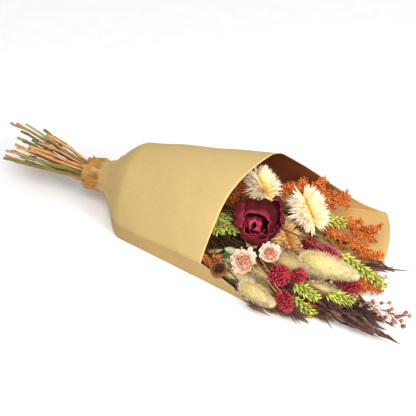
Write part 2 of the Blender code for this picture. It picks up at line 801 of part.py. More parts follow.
def make_sleeve(parts):
    """The paper: an open surface along the ribs, given the thickness of a stiff wrapping paper."""
    stations = tuple(float(x) for x in np.linspace(NECK_END_X, PLEATS_END_X, NECK_STATIONS))
    fine = []
    for rib in range(len(RIBS)):
        other = (rib + 1) % len(RIBS)
        flat = RIB_UP[rib] == 0 and RIB_UP[other] == 0
        for share in (0.0,) if flat else (0.0, 0.5):
            fine.append((rib, other, share))
    work = bmesh.new()
    rows = []
    for rib, other, share in fine:
        mouth = lerp(RIB_MOUTH[rib], RIB_MOUTH[other], share)
        column = []
        for x in stations + tuple(lerp(PLEATS_END_X, mouth, share) for share in MOUTH_STATIONS):
            section = sleeve_section([x])[0]
            y, z = lerp(section[rib], section[other], share)
            fade = 1 - smooth_step((x - NECK_TO_X) / (PLEATS_END_X - NECK_TO_X))
            out = unit((y - NECK_CENTRE[0], z - NECK_CENTRE[1]))
            turn = math.atan2(out[1], out[0])
            pleat = PLEAT_DEPTH * fade * math.cos(PLEAT_COUNT * turn + 0.9 * math.sin(x / 9))
            column.append(work.verts.new((x, y + out[0] * pleat, max(0.0, z + out[1] * pleat))))
        rows.append(column)
    for column, beside in zip(rows, rows[1:] + rows[:1]):
        for k in range(len(column) - 1):
            work.faces.new((column[k], column[k + 1], beside[k + 1], beside[k]))
    bmesh.ops.triangulate(work, faces=work.faces[:])
    mesh = mesh_of(work)
    sleeve = add_object("paper_sleeve", mesh, parts)
    work = bmesh.new()
    work.from_mesh(mesh)
    top = max(work.faces, key=lambda face: face.calc_center_median().z)
    if top.normal.z < 0:
        bmesh.ops.reverse_faces(work, faces=work.faces[:])
        work.to_mesh(mesh)
    work.free()
    mesh.materials.append(material("kraft"))
    mesh.shade_smooth()
    mesh.set_sharp_from_angle(angle=math.radians(35))
    shell = sleeve.modifiers.new("thickness", "SOLIDIFY")
    shell.thickness = PAPER * MM
    shell.offset = -1
    shell.use_even_offset = True


def make_tie(parts):
    """Twine wound round the bundle inside the sleeve's neck."""
    inner = (STEM_PITCH * STEM_RINGS + STEM_NECK_RADIUS + GAP) / math.cos(math.pi / TIE_STEPS)
    outer = NECK_RADIUS - PLEAT_DEPTH - PAPER - GAP
    outline = [(inner, TIE_TURNS * TIE_CORD / 2)]
    for turn in range(TIE_TURNS):
        middle = (TIE_TURNS / 2 - turn - 0.5) * TIE_CORD
        outline.append((outer, middle))
        outline.append((lerp(inner, outer, 0.6), middle - TIE_CORD / 2))
    outline[-1] = (inner, -TIE_TURNS * TIE_CORD / 2)
    ring = turned(outline, TIE_STEPS, (TIE_X, *NECK_CENTRE), (1, 0, 0), True)
    fuse("tie", [ring], "twine", parts)


def stem_tube(plant, draw):
    """The whole stem from its cut end to the head's base, thicker towards the cut end."""
    tail = tail_route(plant, draw)
    points = tail + [tuple(point) for point in plant.route]
    end_radius = draw.uniform(1.7, 2.3)
    radii = [end_radius, 1.95, STEM_NECK_RADIUS] + list(plant.radii)
    return tube(points, radii, plant.sides)


def petal_rings(place, rings, scale, thickness, draw):
    """Petals in staggered rings. Each leaves a slit to its neighbours, so that none cross.

    A ring holds its count, the foot's and the rim's radius, the foot's and the rim's height, how far a
    petal's sides drop, the turn of its first petal, how far the rim rolls out, and its columns.
    """
    made = []
    for count, foot, rim, low, height, drop, start, roll, columns in rings:
        half = 0.94 * math.pi / count
        for k in range(count):
            turn = start + 2 * math.pi * k / count
            wave = draw.uniform(0.95, 1.05)
            made.append(
                petal(
                    place, turn, half, foot * scale, rim * scale, low * scale, height * scale * wave,
                    drop * scale, thickness, columns, roll * scale,
                )
            )
    return made


def make_rose(plant, draw, parts):
    """Broad petals that grow from a narrow heart with a hollow at its top."""
    heart = ((0, 26), (2.5, 31), (5.5, 28), (6, 16), (8, 8), (5, 2), (0, GAP))
    full_width = 28
    rings = (
        (5, 4, 25, 5, 24, 8, 0.2, 6, 3),
        (4, 4, 19, 8, 30, 7, 0.8, 3, 3),
        (3, 4, 12, 11, 32, 5, 0.1, 2, 4),
    )
    meshes = [turned(heart, 8, plant.base, plant.axes[2])]
    meshes += petal_rings((plant.axes, plant.base), rings, plant.width / full_width, 0.9, draw)
    fuse("rose_bloom", meshes, "burgundy", parts, 60)
    meshes = [stem_tube(plant, draw)]
    meshes.append(ball(plant.to_world((0, 0, -3.6)), 3.5))
    for k in range(5):
        turn = 2 * math.pi * k / 5
        way = (math.cos(turn), math.sin(turn), -0.25)
        start = plant.to_world((0, 0, -2.8))
        meshes.append(spindle(start, np.array(way) @ plant.axes, 17, 5, 1.2, 0.4, plant.axes[2]))
    fuse("rose_stem", meshes, "olive_stem", parts)


def make_everlasting(plant, number, draw, parts):
    """Narrow bracts in three rings, leaving a short ridge instead of one point."""
    reach = plant.width
    core = 0.24 * reach
    meshes = [ball(plant.to_world((0, 0, core + GAP)), core)]
    for count, rise, length, width, lift in (
        (14, 0.1, 1.0, 5.6, 0.8), (11, 0.5, 0.92, 5.4, 1.1), (7, 0.95, 0.78, 5.0, 1.4)
    ):
        for k in range(count):
            turn = 2 * math.pi * (k + 0.5 * (count % 2)) / count
            tilt = rise + draw.uniform(-0.05, 0.05)
            way = np.array((math.cos(turn) * math.cos(tilt), math.sin(turn) * math.cos(tilt), math.sin(tilt)))
            start = way * core * 0.7 + np.array((0, 0, core * lift))
            span = (reach * length - core * 0.7) * draw.uniform(0.92, 1.0)
            broad = width * reach / 28
            meshes.append(
                spindle(plant.to_world(start), way @ plant.axes, span, broad, 1.5, 0.55, plant.axes[2])
            )
    colour = "cream" if number < 3 else "ochre_stem"
    fuse(f"everlasting_bloom_{number}", meshes, colour, parts)
    meshes = [stem_tube(plant, draw), ball(plant.to_world((0, 0, -1.8)), 1.75)]
    fuse(f"everlasting_stem_{number}", meshes, "ochre_stem", parts)


def make_spray_roses(plant, draw, parts):
    """Three small roses on one forked stem."""
    heart = ((0, 12), (1.5, 14.5), (3.2, 12.5), (3.2, 8), (3.8, 4), (2.4, 1.2), (0, GAP))
    rings = (
        (5, 1.8, 12.5, 2.2, 11, 5.5, 0.1, 3, 2),
        (4, 1.8, 8.5, 4, 14, 4.5, 0.7, 1.5, 2),
    )
    meshes = [stem_tube(plant, draw)]
    shift = plant.base - np.array(SPRAY_ROSE_FORK, float)
    for number, (base, tip, width) in enumerate(SPRAY_ROSES, 1):
        axes = axes_along(np.subtract(tip, base))
        base = np.array(base, float) + shift
        foot = base - axes[2] * 2.2
        meshes.append(twig(plant.base - np.array((3.0, 0, 0)), foot, 1.2, 1.0, 4))
        meshes.append(ball(base - axes[2] * 2.1, 1.95))
        scale = width / 15
        petals = [turned([(r * scale, z * scale) for r, z in heart], 6, base, axes[2])]
        petals += petal_rings((axes, base), rings, scale, 0.8, draw)
        fuse(f"spray_rose_bloom_{number}", petals, "pink", parts, 60)
    fuse("spray_rose_stem", meshes, "olive_stem", parts)


def make_bunny_tail(plant, number, draw, parts):
    tuft = 0.22 * plant.width
    head = tufted(plant.base, plant.axes[2], plant.length, plant.width - tuft, 8, 6, tuft, 2.0)
    fuse(f"bunny_tail_head_{number}", [head], "straw_yellow", parts, 80)
    fuse(f"bunny_tail_stem_{number}", [stem_tube(plant, draw)], "tan_stem", parts)


def make_crimson(plant, number, draw, parts):
    tuft = 0.2 * plant.width
    head = tufted(plant.base, plant.axes[2], plant.length, plant.width - tuft, 8, 6, tuft, 1.0)
    fuse(f"crimson_head_{number}", [head], "crimson", parts, 30)
    fuse(f"crimson_stem_{number}", [stem_tube(plant, draw)], "tan_stem", parts)


def ear_of_grains(axes, base, length, width):
    """Grains in two ranks up a thin axis."""
    tip = base + axes[2] * (length - 7)
    made = [twig(base - axes[2], tip, 1.3, 0.8, 3)]
    count = max(6, round(length / 7.5))
    for k in range(count):
        up = lerp(0.5, length - 14, k / (count - 1))
        side = math.pi * k + 0.6 * math.sin(k * 1.7)
        way = np.array((math.cos(side) * 0.48, math.sin(side) * 0.48, 1))
        start = base + axes[2] * up
        made.append(spindle(start, way @ axes, 15, width, width * 0.66, 0.42, axes[0]))
    return made


def make_wheat(plant, number, draw, parts):
    meshes = [stem_tube(plant, draw)]
    meshes += ear_of_grains(plant.axes, plant.base, plant.length, plant.width * 0.95)
    if number == 1:
        for offset in SIDE_EARS:
            foot = plant.to_world((0, 0, -1.5))
            way = unit(offset)
            meshes += ear_of_grains(axes_along(way), foot, float(np.linalg.norm(offset)), plant.width * 0.95)
    fuse(f"wheat_ear_{number}", meshes, "lime", parts)


def make_orange_spray(plant, number, draw, parts):
    """Side twigs that end in small pointed florets."""
    end = plant.to_world((0, 0, plant.length))
    meshes = [stem_tube(plant, draw), bud(plant.to_world((0, 0, -1)), end, 1.2, 9, 5.4)]
    for start, stop in orange_twigs(plant.length, plant.width, number):
        meshes.append(bud(plant.to_world(start), plant.to_world(stop), 1.0, 10, 5.8))
    fuse(f"orange_spray_{number}", meshes, "orange", parts)


def make_dark_oat(plant, number, draw, parts):
    """Long chaffy spikelets that point forward on short side twigs."""
    end = plant.to_world((0, 0, plant.length))
    meshes = [stem_tube(plant, draw), bud(plant.to_world((0, 0, -1)), end, 1.2, 22, 4.6)]
    for start, stop in oat_twigs(plant.length, plant.width, number):
        meshes.append(bud(plant.to_world(start), plant.to_world(stop), 0.8, 20, 4.6))
    fuse(f"dark_oat_{number}", meshes, "dark_brown", parts)


def make_flax(plant, draw, parts):
    end = plant.to_world((0, 0, plant.length))
    meshes = [stem_tube(plant, draw), berry(plant.to_world((0, 0, -1)), end, 1.1, 2.9)]
    for start, stop in flax_twigs(plant.length, plant.width):
        meshes.append(berry(plant.to_world(start), plant.to_world(stop), 0.6, 2.9))
    fuse("flax", meshes, "flax_brown", parts)


def make_eucalyptus(plant, draw, parts):
    end = plant.to_world((0, 0, plant.length - 6))
    meshes = [stem_tube(plant, draw), twig(plant.to_world((0, 0, -1)), end, 1.2, 0.7, 3)]
    for start, stop in eucalyptus_twigs(plant.length, plant.width):
        way = np.subtract(stop, start)
        at = np.array(start) + unit(way) * 0.2
        meshes.append(leaf(plant.to_world(at), way @ plant.axes, LEAF_LENGTH, 10, 0.8, 1.5))
    meshes.append(leaf(end - plant.axes[2], plant.axes[2], 15, 9, 0.8, 1.0))
    fuse("eucalyptus", meshes, "grey_green", parts)


def make_rosette(plant, draw, parts):
    """A small cone of pointed scales."""
    meshes = [stem_tube(plant, draw), ball(plant.to_world((0, 0, 6)), 4.4)]
    meshes.append(twig(plant.to_world((0, 0, -1)), plant.to_world((0, 0, 4)), 1.3, 1.3, 4))
    for count, tilt, start_turn in ((6, 0.1, 0.0), (4, 0.8, 0.4)):
        for k in range(count):
            turn = 2 * math.pi * k / count + start_turn
            way = np.array((math.cos(turn) * math.cos(tilt), math.sin(turn) * math.cos(tilt), math.sin(tilt)))
            start = np.array((0, 0, 6)) + way * 2.6
            meshes.append(spindle(plant.to_world(start), way @ plant.axes, 7, 4.2, 1.8, 0.5, plant.axes[2]))
    fuse("cone_rosette", meshes, "rust", parts)


def main():
    for old in list(bpy.data.objects):
        bpy.data.objects.remove(old)
    parts = bpy.data.collections.new("mixed_flower_bouquet")
    bpy.context.scene.collection.children.link(parts)
    plants = all_plants()
    give_slots(plants)
    Bundle(plants).settle()
    draw = random.Random(SEED)
    make_sleeve(parts)
    make_tie(parts)
    makers = {
        "everlasting": make_everlasting,
        "bunny_tail": make_bunny_tail,
        "crimson": make_crimson,
        "wheat_ear": make_wheat,
        "orange_spray": make_orange_spray,
        "dark_oat": make_dark_oat,
    }
    single_makers = {
        "rose": make_rose,
        "spray_rose": make_spray_roses,
        "flax": make_flax,
        "eucalyptus": make_eucalyptus,
        "rosette": make_rosette,
    }
    for plant in plants:
        if plant.name in single_makers:
            single_makers[plant.name](plant, draw, parts)
        else:
            kind, number = plant.name.rsplit("_", 1)
            makers[kind](plant, int(number), draw, parts)


main()
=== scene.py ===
"""The look of the mixed dried bouquet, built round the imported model.

Lengths are written in millimetres, and MM turns them into metres where a mesh is made.
Every piece is a set of small grids: petals, bracts, hairs, grains and tubes alike.
"""

import math
import random

import bpy
import numpy as np
from mathutils import Matrix


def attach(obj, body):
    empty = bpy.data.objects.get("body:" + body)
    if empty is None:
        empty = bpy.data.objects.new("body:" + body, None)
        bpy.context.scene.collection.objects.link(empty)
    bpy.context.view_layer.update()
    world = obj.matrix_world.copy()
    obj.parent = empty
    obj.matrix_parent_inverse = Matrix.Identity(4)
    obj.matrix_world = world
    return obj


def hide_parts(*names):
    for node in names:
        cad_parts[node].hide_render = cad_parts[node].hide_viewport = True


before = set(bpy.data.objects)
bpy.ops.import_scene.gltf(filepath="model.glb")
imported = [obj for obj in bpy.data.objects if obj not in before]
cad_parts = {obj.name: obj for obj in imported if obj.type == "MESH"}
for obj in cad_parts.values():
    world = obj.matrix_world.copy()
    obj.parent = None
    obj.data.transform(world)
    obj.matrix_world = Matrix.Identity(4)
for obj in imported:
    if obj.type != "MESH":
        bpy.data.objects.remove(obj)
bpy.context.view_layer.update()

MM = 0.001
SEED = 11
GOLDEN_TURN = 2.39996
UP = np.array((0, 0, 1.0))
draw = np.random.default_rng(SEED)
tail_draw = np.random.default_rng(SEED + 3)

# The camera, as the photograph was taken, in metres.
CAMERA_TURN, CAMERA_RISE = math.radians(24.5), math.radians(38)
CAMERA_REACH, CAMERA_TARGET = 1.5, np.array((-0.03, 0, 0.03))
CAMERA_LENS, SENSOR = 106.36, 36

# Each lamp's place in metres, its size and its power. A lamp of no size is a spot.
LAMPS = {
    "key": ((0.4, -0.7, 1.75), 1.1, 12.0),
    "fill": ((1.6, -0.6, 1.1), 1.2, 11.0),
    "mouth": ((1.3, -0.62, 0.80), 0.0, 36.0),
    "front": ((0.50, -1.00, 0.90), 0.0, 41.0),
}
LAMP_AIM, SPOT_AIM = (0.02, -0.02, 0.03), (0.09, -0.05, 0.03)
SPOT_SOFTNESS, SPOT_SPREAD = 0.12, math.radians(17)
SKY_STRENGTH = 0.78
TABLE_REACH, TABLE_Z = 4.0, -0.0004

# The sleeve's section, as in the part's own source, and the look's own sheet.
NECK_END_X, NECK_TO_X, FULL_FROM_X = -199.0, -176.0, -120.0
NECK_FOLD_X = -178.0
NECK_CENTRE = (5.0, 30.0)
NECK_RADIUS = 19.4
PLEAT_COUNT, PLEAT_DEPTH, PLEATS_END_X = 9, 1.7, -122.0
SLEEVE_MID_Y, SLEEVE_HALF_WIDTH, SLEEVE_WIDENING = -4.1, 87.1, 0.222
SLEEVE_HEIGHT, SLEEVE_RISE = 104.0, 0.12
SHEET_THICKNESS, SHEET_MARGIN = 0.45, 1.6
# The ribs that stay sharp folds, the look's columns to a rib, and its rows along the neck and the cone.
SHARP_RIBS, RIB_SPLIT = (0, 2, 16), 6
NECK_ROWS, CONE_ROWS = 40, 43
# Each rib's place across and up, as shares of the section, and the x of the mouth there.
RIBS = (
    (-1.00, 0.00, 100), (-1.00, 0.12, 50), (-1.00, 0.23, 2), (-0.92, 0.44, 6), (-0.79, 0.64, 11),
    (-0.60, 0.79, 13), (-0.37, 0.90, 16), (-0.12, 0.97, 22), (0.12, 1.00, 29), (0.34, 0.99, 34),
    (0.52, 0.95, 37), (0.68, 0.86, 41), (0.81, 0.72, 48), (0.90, 0.54, 71), (0.96, 0.34, 90),
    (0.98, 0.10, 127), (1.00, 0.00, 162), (0.84, 0.00, 172), (0.62, 0.00, 181), (0.38, 0.00, 187),
    (0.14, 0.00, 189), (-0.10, 0.00, 188), (-0.34, 0.00, 184), (-0.56, 0.00, 175), (-0.74, 0.00, 160),
    (-0.88, 0.00, 132),
)
RIB_ACROSS, RIB_UP, RIB_MOUTH = (np.array(column, float) for column in zip(*RIBS))

# Stems: the least gap between a solid's rings, the gap under a bloom's heart, the middle of the tails,
# and the withered leaves and twigs along them.
RING_GAP, HEART_GAP = 5.0, 0.3
TAIL_MIDDLE = (15, 43)
LEAVES_FROM_X = -45.0
LEAF_LENGTHS, LEAF_WIDTHS, TWIG_WIDTH, TWIG_SHARE = (12, 26), (0.16, 0.30), 0.9, 0.35
LEAVES = {"stem": 27, "orange": 15, "oat": 24, "flax": 18, "rosette": 18}
FRONT_HEADS_Y, FRONT_HEADS_LOW = -68.0, 9.0

# Where each head grows: base, tip and widest radius, before the strands settle.
ROSE = ((44, -36, 56), (60, -54, 83), 28)
EVERLASTINGS = (
    ((30, 20, 63), (37, 16, 81), 28),
    ((92, 16, 53), (100, 6, 68), 30),
    ((80, -16, 29), (88, -24, 41), 18),
)
EVERLASTING_CREASES = ((0.42, -0.34, -0.84), (0.56, -0.38, -0.74), (0.42, -0.34, -0.84))
EVERLASTING_BRACTS, EVERLASTING_SPREADS = (430, 430, 260), (1.0, 1.0, 1.35)
SPRAY_ROSE_FORK = (20, -60, 22)
SPRAY_ROSES = (
    ((44, -79, 37), (54, -92, 42), 18),
    ((72, -60, 43), (78, -75, 49), 14.5),
    ((46, -50, 38), (50, -58, 45), 9),
)
SPRAY_PETALS, SPRAY_OUTER_SHARE, SPRAY_HEART_SHIFT = 30, 0.42, (1.5, -3.5)
# A petal's half turn, foot height, roll and ruffle, at the outside and in the heart.
SPRAY_OUTER_PETAL, SPRAY_HEART_PETAL = np.array((0.85, 0.5, 1.2, 0.75)), np.array((1.1, 4.0, 0.4, 0.5))
BUNNY_TAILS = (
    ((28, -87, 13), (62, -86, 15), 11.5),
    ((66, -104, 24), (109, -116, 20), 10.5),
    ((77, -57, 33), (139, -58, 28), 10.5),
    ((117, -66, 52), (181, -63, 43), 13.5),
    ((134, -72, 21), (170, -70, 18), 7.5),
    ((60, -80, 21), (88, -88, 20), 6.5),
)
# The density is the count of hairs by the head's length times its width.
FUR_DENSITY, FUR_LENGTHS, FUR_WIDTH, FUR_LEAN = 7.5, (3.6, 7.0), 0.36, (0.35, 0.9)
CRIMSON_HEADS = (
    ((93, -85, 34), (109, -97, 48), 13),
    ((116, -82, 39), (126, -91, 50), 8.5),
    ((101, -101, 22), (119, -117, 17), 10),
    ((100, -14, 33), (113, -21, 43), 8.5),
    ((128, -28, 43), (154, -36, 39), 9.5),
    ((156, -61, 28), (182, -64, 27), 10),
)
FLORET_LENGTHS, FLORET_RADII = (3.0, 4.8), (0.95, 1.4)
# Each crimson head's density of hairs, and how far along the head they grow.
FRINGE_DENSITIES, FRINGE_ENDS = (0.15, 0.15, 0.15, 0.15, 3.0, 3.0), (1.1, 1.1, 1.1, 1.1, 1.1, 0.5)
WHEAT_EARS = (
    ((-5, -45, 46), (45, -58, 50), 8),
    ((105, 28, 38), (141, 34, 36), 6.5),
    ((148, -21, 33), (212, -35, 14), 7),
    ((118, -82, 28), (154, -88, 21), 6.5),
    ((114, -97, 16), (150, -108, 11), 6.5),
    ((154, -79, 22), (190, -76, 18), 5.5),
)
SIDE_EARS = ((31, 12, 2), (30, -18, -4))
SOLID_GRAIN = 15.0
# How far a spikelet's grains spread and stand forward, and their share of the full length.
EAR_GRAINS = ((-0.72, 0.0, 0.95), (0.72, 0.0, 0.95), (-0.28, 1.4, 1.05), (0.28, 1.4, 1.05))
ORANGE_SPRAYS = (
    ((-26, -16, 44), (16, 18, 62), 16),
    ((40, 52, 44), (90, 84, 42), 14),
    ((75, 64, 24), (119, 90, 30), 15),
    ((112, 50, 18), (168, 56, 16), 17),
    ((134, 24, 18), (186, 11, 16), 12),
    ((164, -47, 13), (202, -27, 14), 10),
    ((-14, -77, 21), (28, -78, 25), 8),
)
ORANGE_TWIGS, ORANGE_FORKS, ORANGE_FLORETS = 9, 24, 9
# How far back along the stem each spray has more twigs, and how much darker the first spray's florets are
# painted, as shade under the paper's rim.
ORANGE_BACK = (0, 10, 25, 50, 30, 10, 0)
FIRST_ORANGE_PAINTED_SHADE = 0.3
RUST_TWIG = ((120, -83, 9), (147, -91, 9))
DARK_OATS = (
    ((146, -80, 14), (249, -103, 9), 13),
    ((54, -101, 11), (126, -119, 9), 4),
    ((153, -70, 9), (237, -90, 11), 11),
    ((168, -9, 16), (226, 3, 18), 8),
)
# For each bunch of oats: tufts on a twig, chaff in a tuft, its share of the full width, and how far
# back along the stem more of it grows.
OAT_TWIGS, OAT_TUFTS, OAT_CHAFFS, OAT_SLIM = 8, (9, 9, 9, 4), (2, 5, 2, 1), (1.0, 0.6, 1.0, 0.5)
OAT_BACK = (45, 30, 40, 6)
LIP_SPIKES = (((56, -106, 19), (130, -112, 12)), ((78, -98, 14), (154, -94, 8)))
LIP_SPIKE_COUNT = 380
FLAX = ((176, -72, 19), (244, -88, 18), 20)
FLAX_TWIGS, BALL_LENGTH, BALL_RADII = 12, 5.2, (2.1, 2.7)
# Loose seed balls and tan twigs fork off the flax stem, this far back and down from where they show.
LOOSE_BALLS = (
    (107, -37, 46), (90, -99, 34), (104, -101, 35), (137, -81, 36), (94, -44, 46), (188, -70, 24),
    (194, -75, 18), (157, -74, 38),
)
LOOSE_FORK_BACK = (26, 0, 11)
TAN_TWIGS = (
    ((59, -83, 38), (110, -109, 26)), ((72, -86, 40), (110, -107, 30)), ((74, -79, 42), (101, -104, 38)),
    ((126, -112, 12), (150, -118, 5)), ((79, -49, 44), (111, -55, 42)), ((125, -88, 22), (148, -70, 36)),
)
TAN_FORK_BACK = (30, 0, 14)
EUCALYPTUS = ((-4, -58, 33), (30, -66, 38), 10)
EUCALYPTUS_TWIGS, LEAF_LENGTH, SMALL_LEAVES = 5, 19, 12
# A pale leaf apart from the rest, and the way that it faces.
PALE_LEAF, PALE_LEAF_FACES = ((25, -74, 41), (46, -76, 42)), (0.33, -0.72, 0.62)
ROSETTE = ((28, -91, 27), (40, -106, 32), 8)
# The rosette's rings: scales, foot, rim, low, height, drop, first turn and roll.
ROSETTE_RINGS = (
    (6, 2, 9.5, 1.0, 6.0, 1.0, 0.0, 0.8),
    (6, 2, 8.0, 2.0, 8.5, 1.0, 0.5, 0.5),
    (5, 2, 5.6, 3.0, 10.0, 1.0, 0.2, 0.4),
    (4, 1.5, 3.4, 4.0, 11.0, 0.5, 0.7, 0.2),
)
# The solid's own rings of scales: how many, how far they tilt and where they start.
SOLID_SCALES, SOLID_SCALE_LENGTH = ((6, 0.1, 0.0), (4, 0.8, 0.4)), 9.6

# The rose's petals as the camera sees them, in pixels of the photograph right of and above its middle:
# the outline, the rim, the height where the petal is widest, the height of its rim, its skin and its painted
# shade.
ROSE_PIXEL = 1.22
ROSE_TURN = np.array(((math.cos(0.21), -math.sin(0.21)), (math.sin(0.21), math.cos(0.21))))
ROSE_SEEN_AT, ROSE_LEAN = 16.0, 0.196
ROSE_PETALS = (
    (((-21, -7), (-17, -17), (-6, -24), (6, -25)), ((-13, -3), (-11, -9), (-5, -14), (3, -16)),
     11, 24, 0, 0.55),
    (((2, -25), (12, -22), (20, -14), (23, -3)), ((2, -17), (9, -16), (14, -10), (15, -2)), 12, 25, 0, 0.4),
    (((-6, 21), (-17, 17), (-25, 7), (-24, -4), (-18, -12)),
     ((-9, 19), (-11, 10), (-11, 3), (-12, -4), (-12, -9)), 12, 25, 0, 0.8),
    (((24, -12), (26, -2), (26, 8), (26, 18), (20, 24)),
     ((19, -12), (22, -2), (21.5, 8), (22, 16), (16, 19)), 14, 26, 0, 0.7),
    (((-12, 15), (-9, 22), (4, 23), (17, 23), (21, 13), (20, 0), (17, -12)),
     ((-11, 2), (-9, 4), (-3, 4.5), (4, 4), (9, -1), (10.5, -8), (8, -15)), 16, 30, 0, 0.15),
    (((-14, -7), (-13, -14), (-4, -19), (7, -19)), ((-10, -6), (-8, -11), (-2, -13), (6, -12)),
     17, 28, 0, 0.6),
    (((-11, -9), (-11, 0), (-5, 4), (2, 4), (7, 2)), ((-7, -8), (-7, -1), (-3, 1.5), (1, 1.5), (3, 0)),
     20, 29, 0, 0.6),
    (((-10, -5), (-9, -13), (-2, -15), (6, -14), (9, -10)),
     ((-6, -6), (-5, -10), (-1, -11), (4, -11), (6, -9)), 18, 28, 0, 0.45),
    (((-9, -9), (-9, -1), (-3, 2), (3, 1), (5, -5), (3, -12)),
     ((-5, -8), (-5, -3), (-2, -0.5), (1, -1.5), (2, -5), (0, -9)), 19, 29, 1, 0.4),
    (((-7, -10), (-8, -3), (-4, 0.5), (1, 0), (3, -5), (0, -10), (-5, -11)),
     ((-4, -6), (-4, -4), (-2.5, -3), (-1.5, -3.5), (-1.5, -5.5), (-2.5, -6.5), (-3.5, -6.5)),
     22, 32, 1, 1.0),
)
SEPALS = 5


def lerp(a, b, t):
    return a + (b - a) * t


def smooth_step(t):
    t = np.clip(t, 0, 1)
    return t * t * (3 - 2 * t)


def unit(vectors):
    vectors = np.asarray(vectors, float)
    return vectors / (np.linalg.norm(vectors, axis=-1, keepdims=True) + 1e-12)


def axes_along(direction):
    """Three axes as rows, as in the part's source: two across the direction, and the direction."""
    along = unit(direction)
    guide = (0, 0, 1) if abs(along[2]) < 0.9 else (1, 0, 0)
    side = unit(np.cross(guide, along))
    return np.array((side, np.cross(along, side), along))


def frames_along(directions, guides):
    """For many directions: an array of three axes as rows, the first square to the guide."""
    along = np.atleast_2d(unit(directions))
    side = np.cross(guides, along)
    flat = np.linalg.norm(side, axis=-1) < 1e-3
    side[flat] = np.cross((0.3, 0.9, 0.2), along[flat])
    side = unit(side)
    return np.stack((side, np.cross(along, side), along), axis=1)


def waves(points, pitch, seed):
    """Smooth noise between about -1 and 1 from sums of sines, for an array of points."""
    pick = np.random.default_rng(seed)
    total = np.zeros(np.shape(points)[:-1])
    for _ in range(5):
        total += np.sin(points @ unit(pick.normal(size=3)) * 2 * math.pi / (pitch * pick.uniform(0.6, 1.5))
                        + pick.uniform(0, 7))
    return total / 2.6


def crumple(points, amount, pitch, seed):
    """Pushes points about smoothly, as drying does to a petal."""
    return points + amount * np.stack([waves(points, pitch, seed + way) for way in range(3)], -1)


# Repeats of the part's source: side twigs, an ear's grains and the sleeve's section.


def side_twigs(length, spread, count, seed, first=0.15, forward=(0.9, 1.4)):
    """The two ends of each side twig, in its head's axes."""
    pick = random.Random(seed)
    twigs = []
    for k in range(count):
        start = lerp(first, 0.86, k / (count - 1)) * length
        turn = k * 2.4 + pick.uniform(-0.3, 0.3)
        out = spread * pick.uniform(0.7, 1.0) * lerp(1.0, 0.6, start / length)
        end = (out * math.cos(turn), out * math.sin(turn), start + pick.uniform(*forward) * out)
        twigs.append(((0, 0, start), end))
    return twigs


def grain_tips(length):
    """Where the source's grains of a main ear end, in the head's axes."""
    tips = []
    count = max(6, round(length / 7.5))
    for k in range(count):
        up = lerp(0.5, length - 14, k / (count - 1))
        side = math.pi * k + 0.6 * math.sin(k * 1.7)
        tips.append(up * UP + unit((math.cos(side) * 0.48, math.sin(side) * 0.48, 1)) * SOLID_GRAIN)
    return tips


def sleeve_section(x):
    """The (y, z) of every rib where it passes x, for an array of x."""
    x = x[..., None]
    half_width = SLEEVE_HALF_WIDTH + SLEEVE_WIDENING * x
    height = SLEEVE_HEIGHT + SLEEVE_RISE * x
    turn = np.arctan2((RIB_UP - 0.45) * SLEEVE_HEIGHT, RIB_ACROSS * SLEEVE_HALF_WIDTH)
    open_up = smooth_step((x - NECK_TO_X) / (FULL_FROM_X - NECK_TO_X))
    y = lerp(NECK_CENTRE[0] + NECK_RADIUS * np.cos(turn), SLEEVE_MID_Y + RIB_ACROSS * half_width, open_up)
    z = lerp(NECK_CENTRE[1] + NECK_RADIUS * np.sin(turn), RIB_UP * height, open_up)
    return np.stack((y, z), -1)


def keep_inside(points):
    """Moves points that would pass the paper back inside it, and lifts those under the table."""
    ribs = sleeve_section(points[:, 0])
    edges = np.roll(ribs, -1, axis=1) - ribs
    inward = unit(np.stack((edges[..., 1], -edges[..., 0]), -1))
    offset = points[:, None, 1:] - ribs
    share = (offset * edges).sum(-1) / ((edges * edges).sum(-1) + 1e-9)
    mouth = lerp(RIB_MOUTH, np.roll(RIB_MOUTH, -1), np.clip(share, 0, 1))
    short = SHEET_MARGIN - (offset * inward).sum(-1)
    short[(points[:, :1] > mouth + 2) | (points[:, :1] < NECK_END_X) | (abs(share - 0.5) > 0.6)] = 0
    worst = short.argmax(axis=1)
    rows = np.arange(len(points))
    points[:, 1:] += np.clip(short[rows, worst], 0, None)[:, None] * inward[rows, worst]
    points[:, 2] = np.maximum(points[:, 2], 1.0)
    return points


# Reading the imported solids: a stem's rings, and how far the settling moved each head.


def vertices_of(node):
    """A solid's separate points in millimetres, ordered by x."""
    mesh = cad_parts[node].data
    points = np.empty(len(mesh.vertices) * 3)
    mesh.vertices.foreach_get("co", points)
    return np.unique(np.round(points.reshape(-1, 3) / MM, 2), axis=0)


def stem_rings(node, base, back_off):
    """Centres and radii of a stem's rings from the cut end to its head's base."""
    points = vertices_of(node)
    points = points[points[:, 0] < base[0] - back_off]
    rings = np.split(points, np.flatnonzero(np.diff(points[:, 0]) > RING_GAP) + 1)
    rings = [ring for ring in rings if len(ring) >= 3]
    centres = [ring.mean(axis=0) for ring in rings]
    radii = [np.linalg.norm(ring - ring.mean(axis=0), axis=1).mean() for ring in rings]
    return np.array(centres + [base]), np.array(radii + [min(radii[-1], 1.2)])


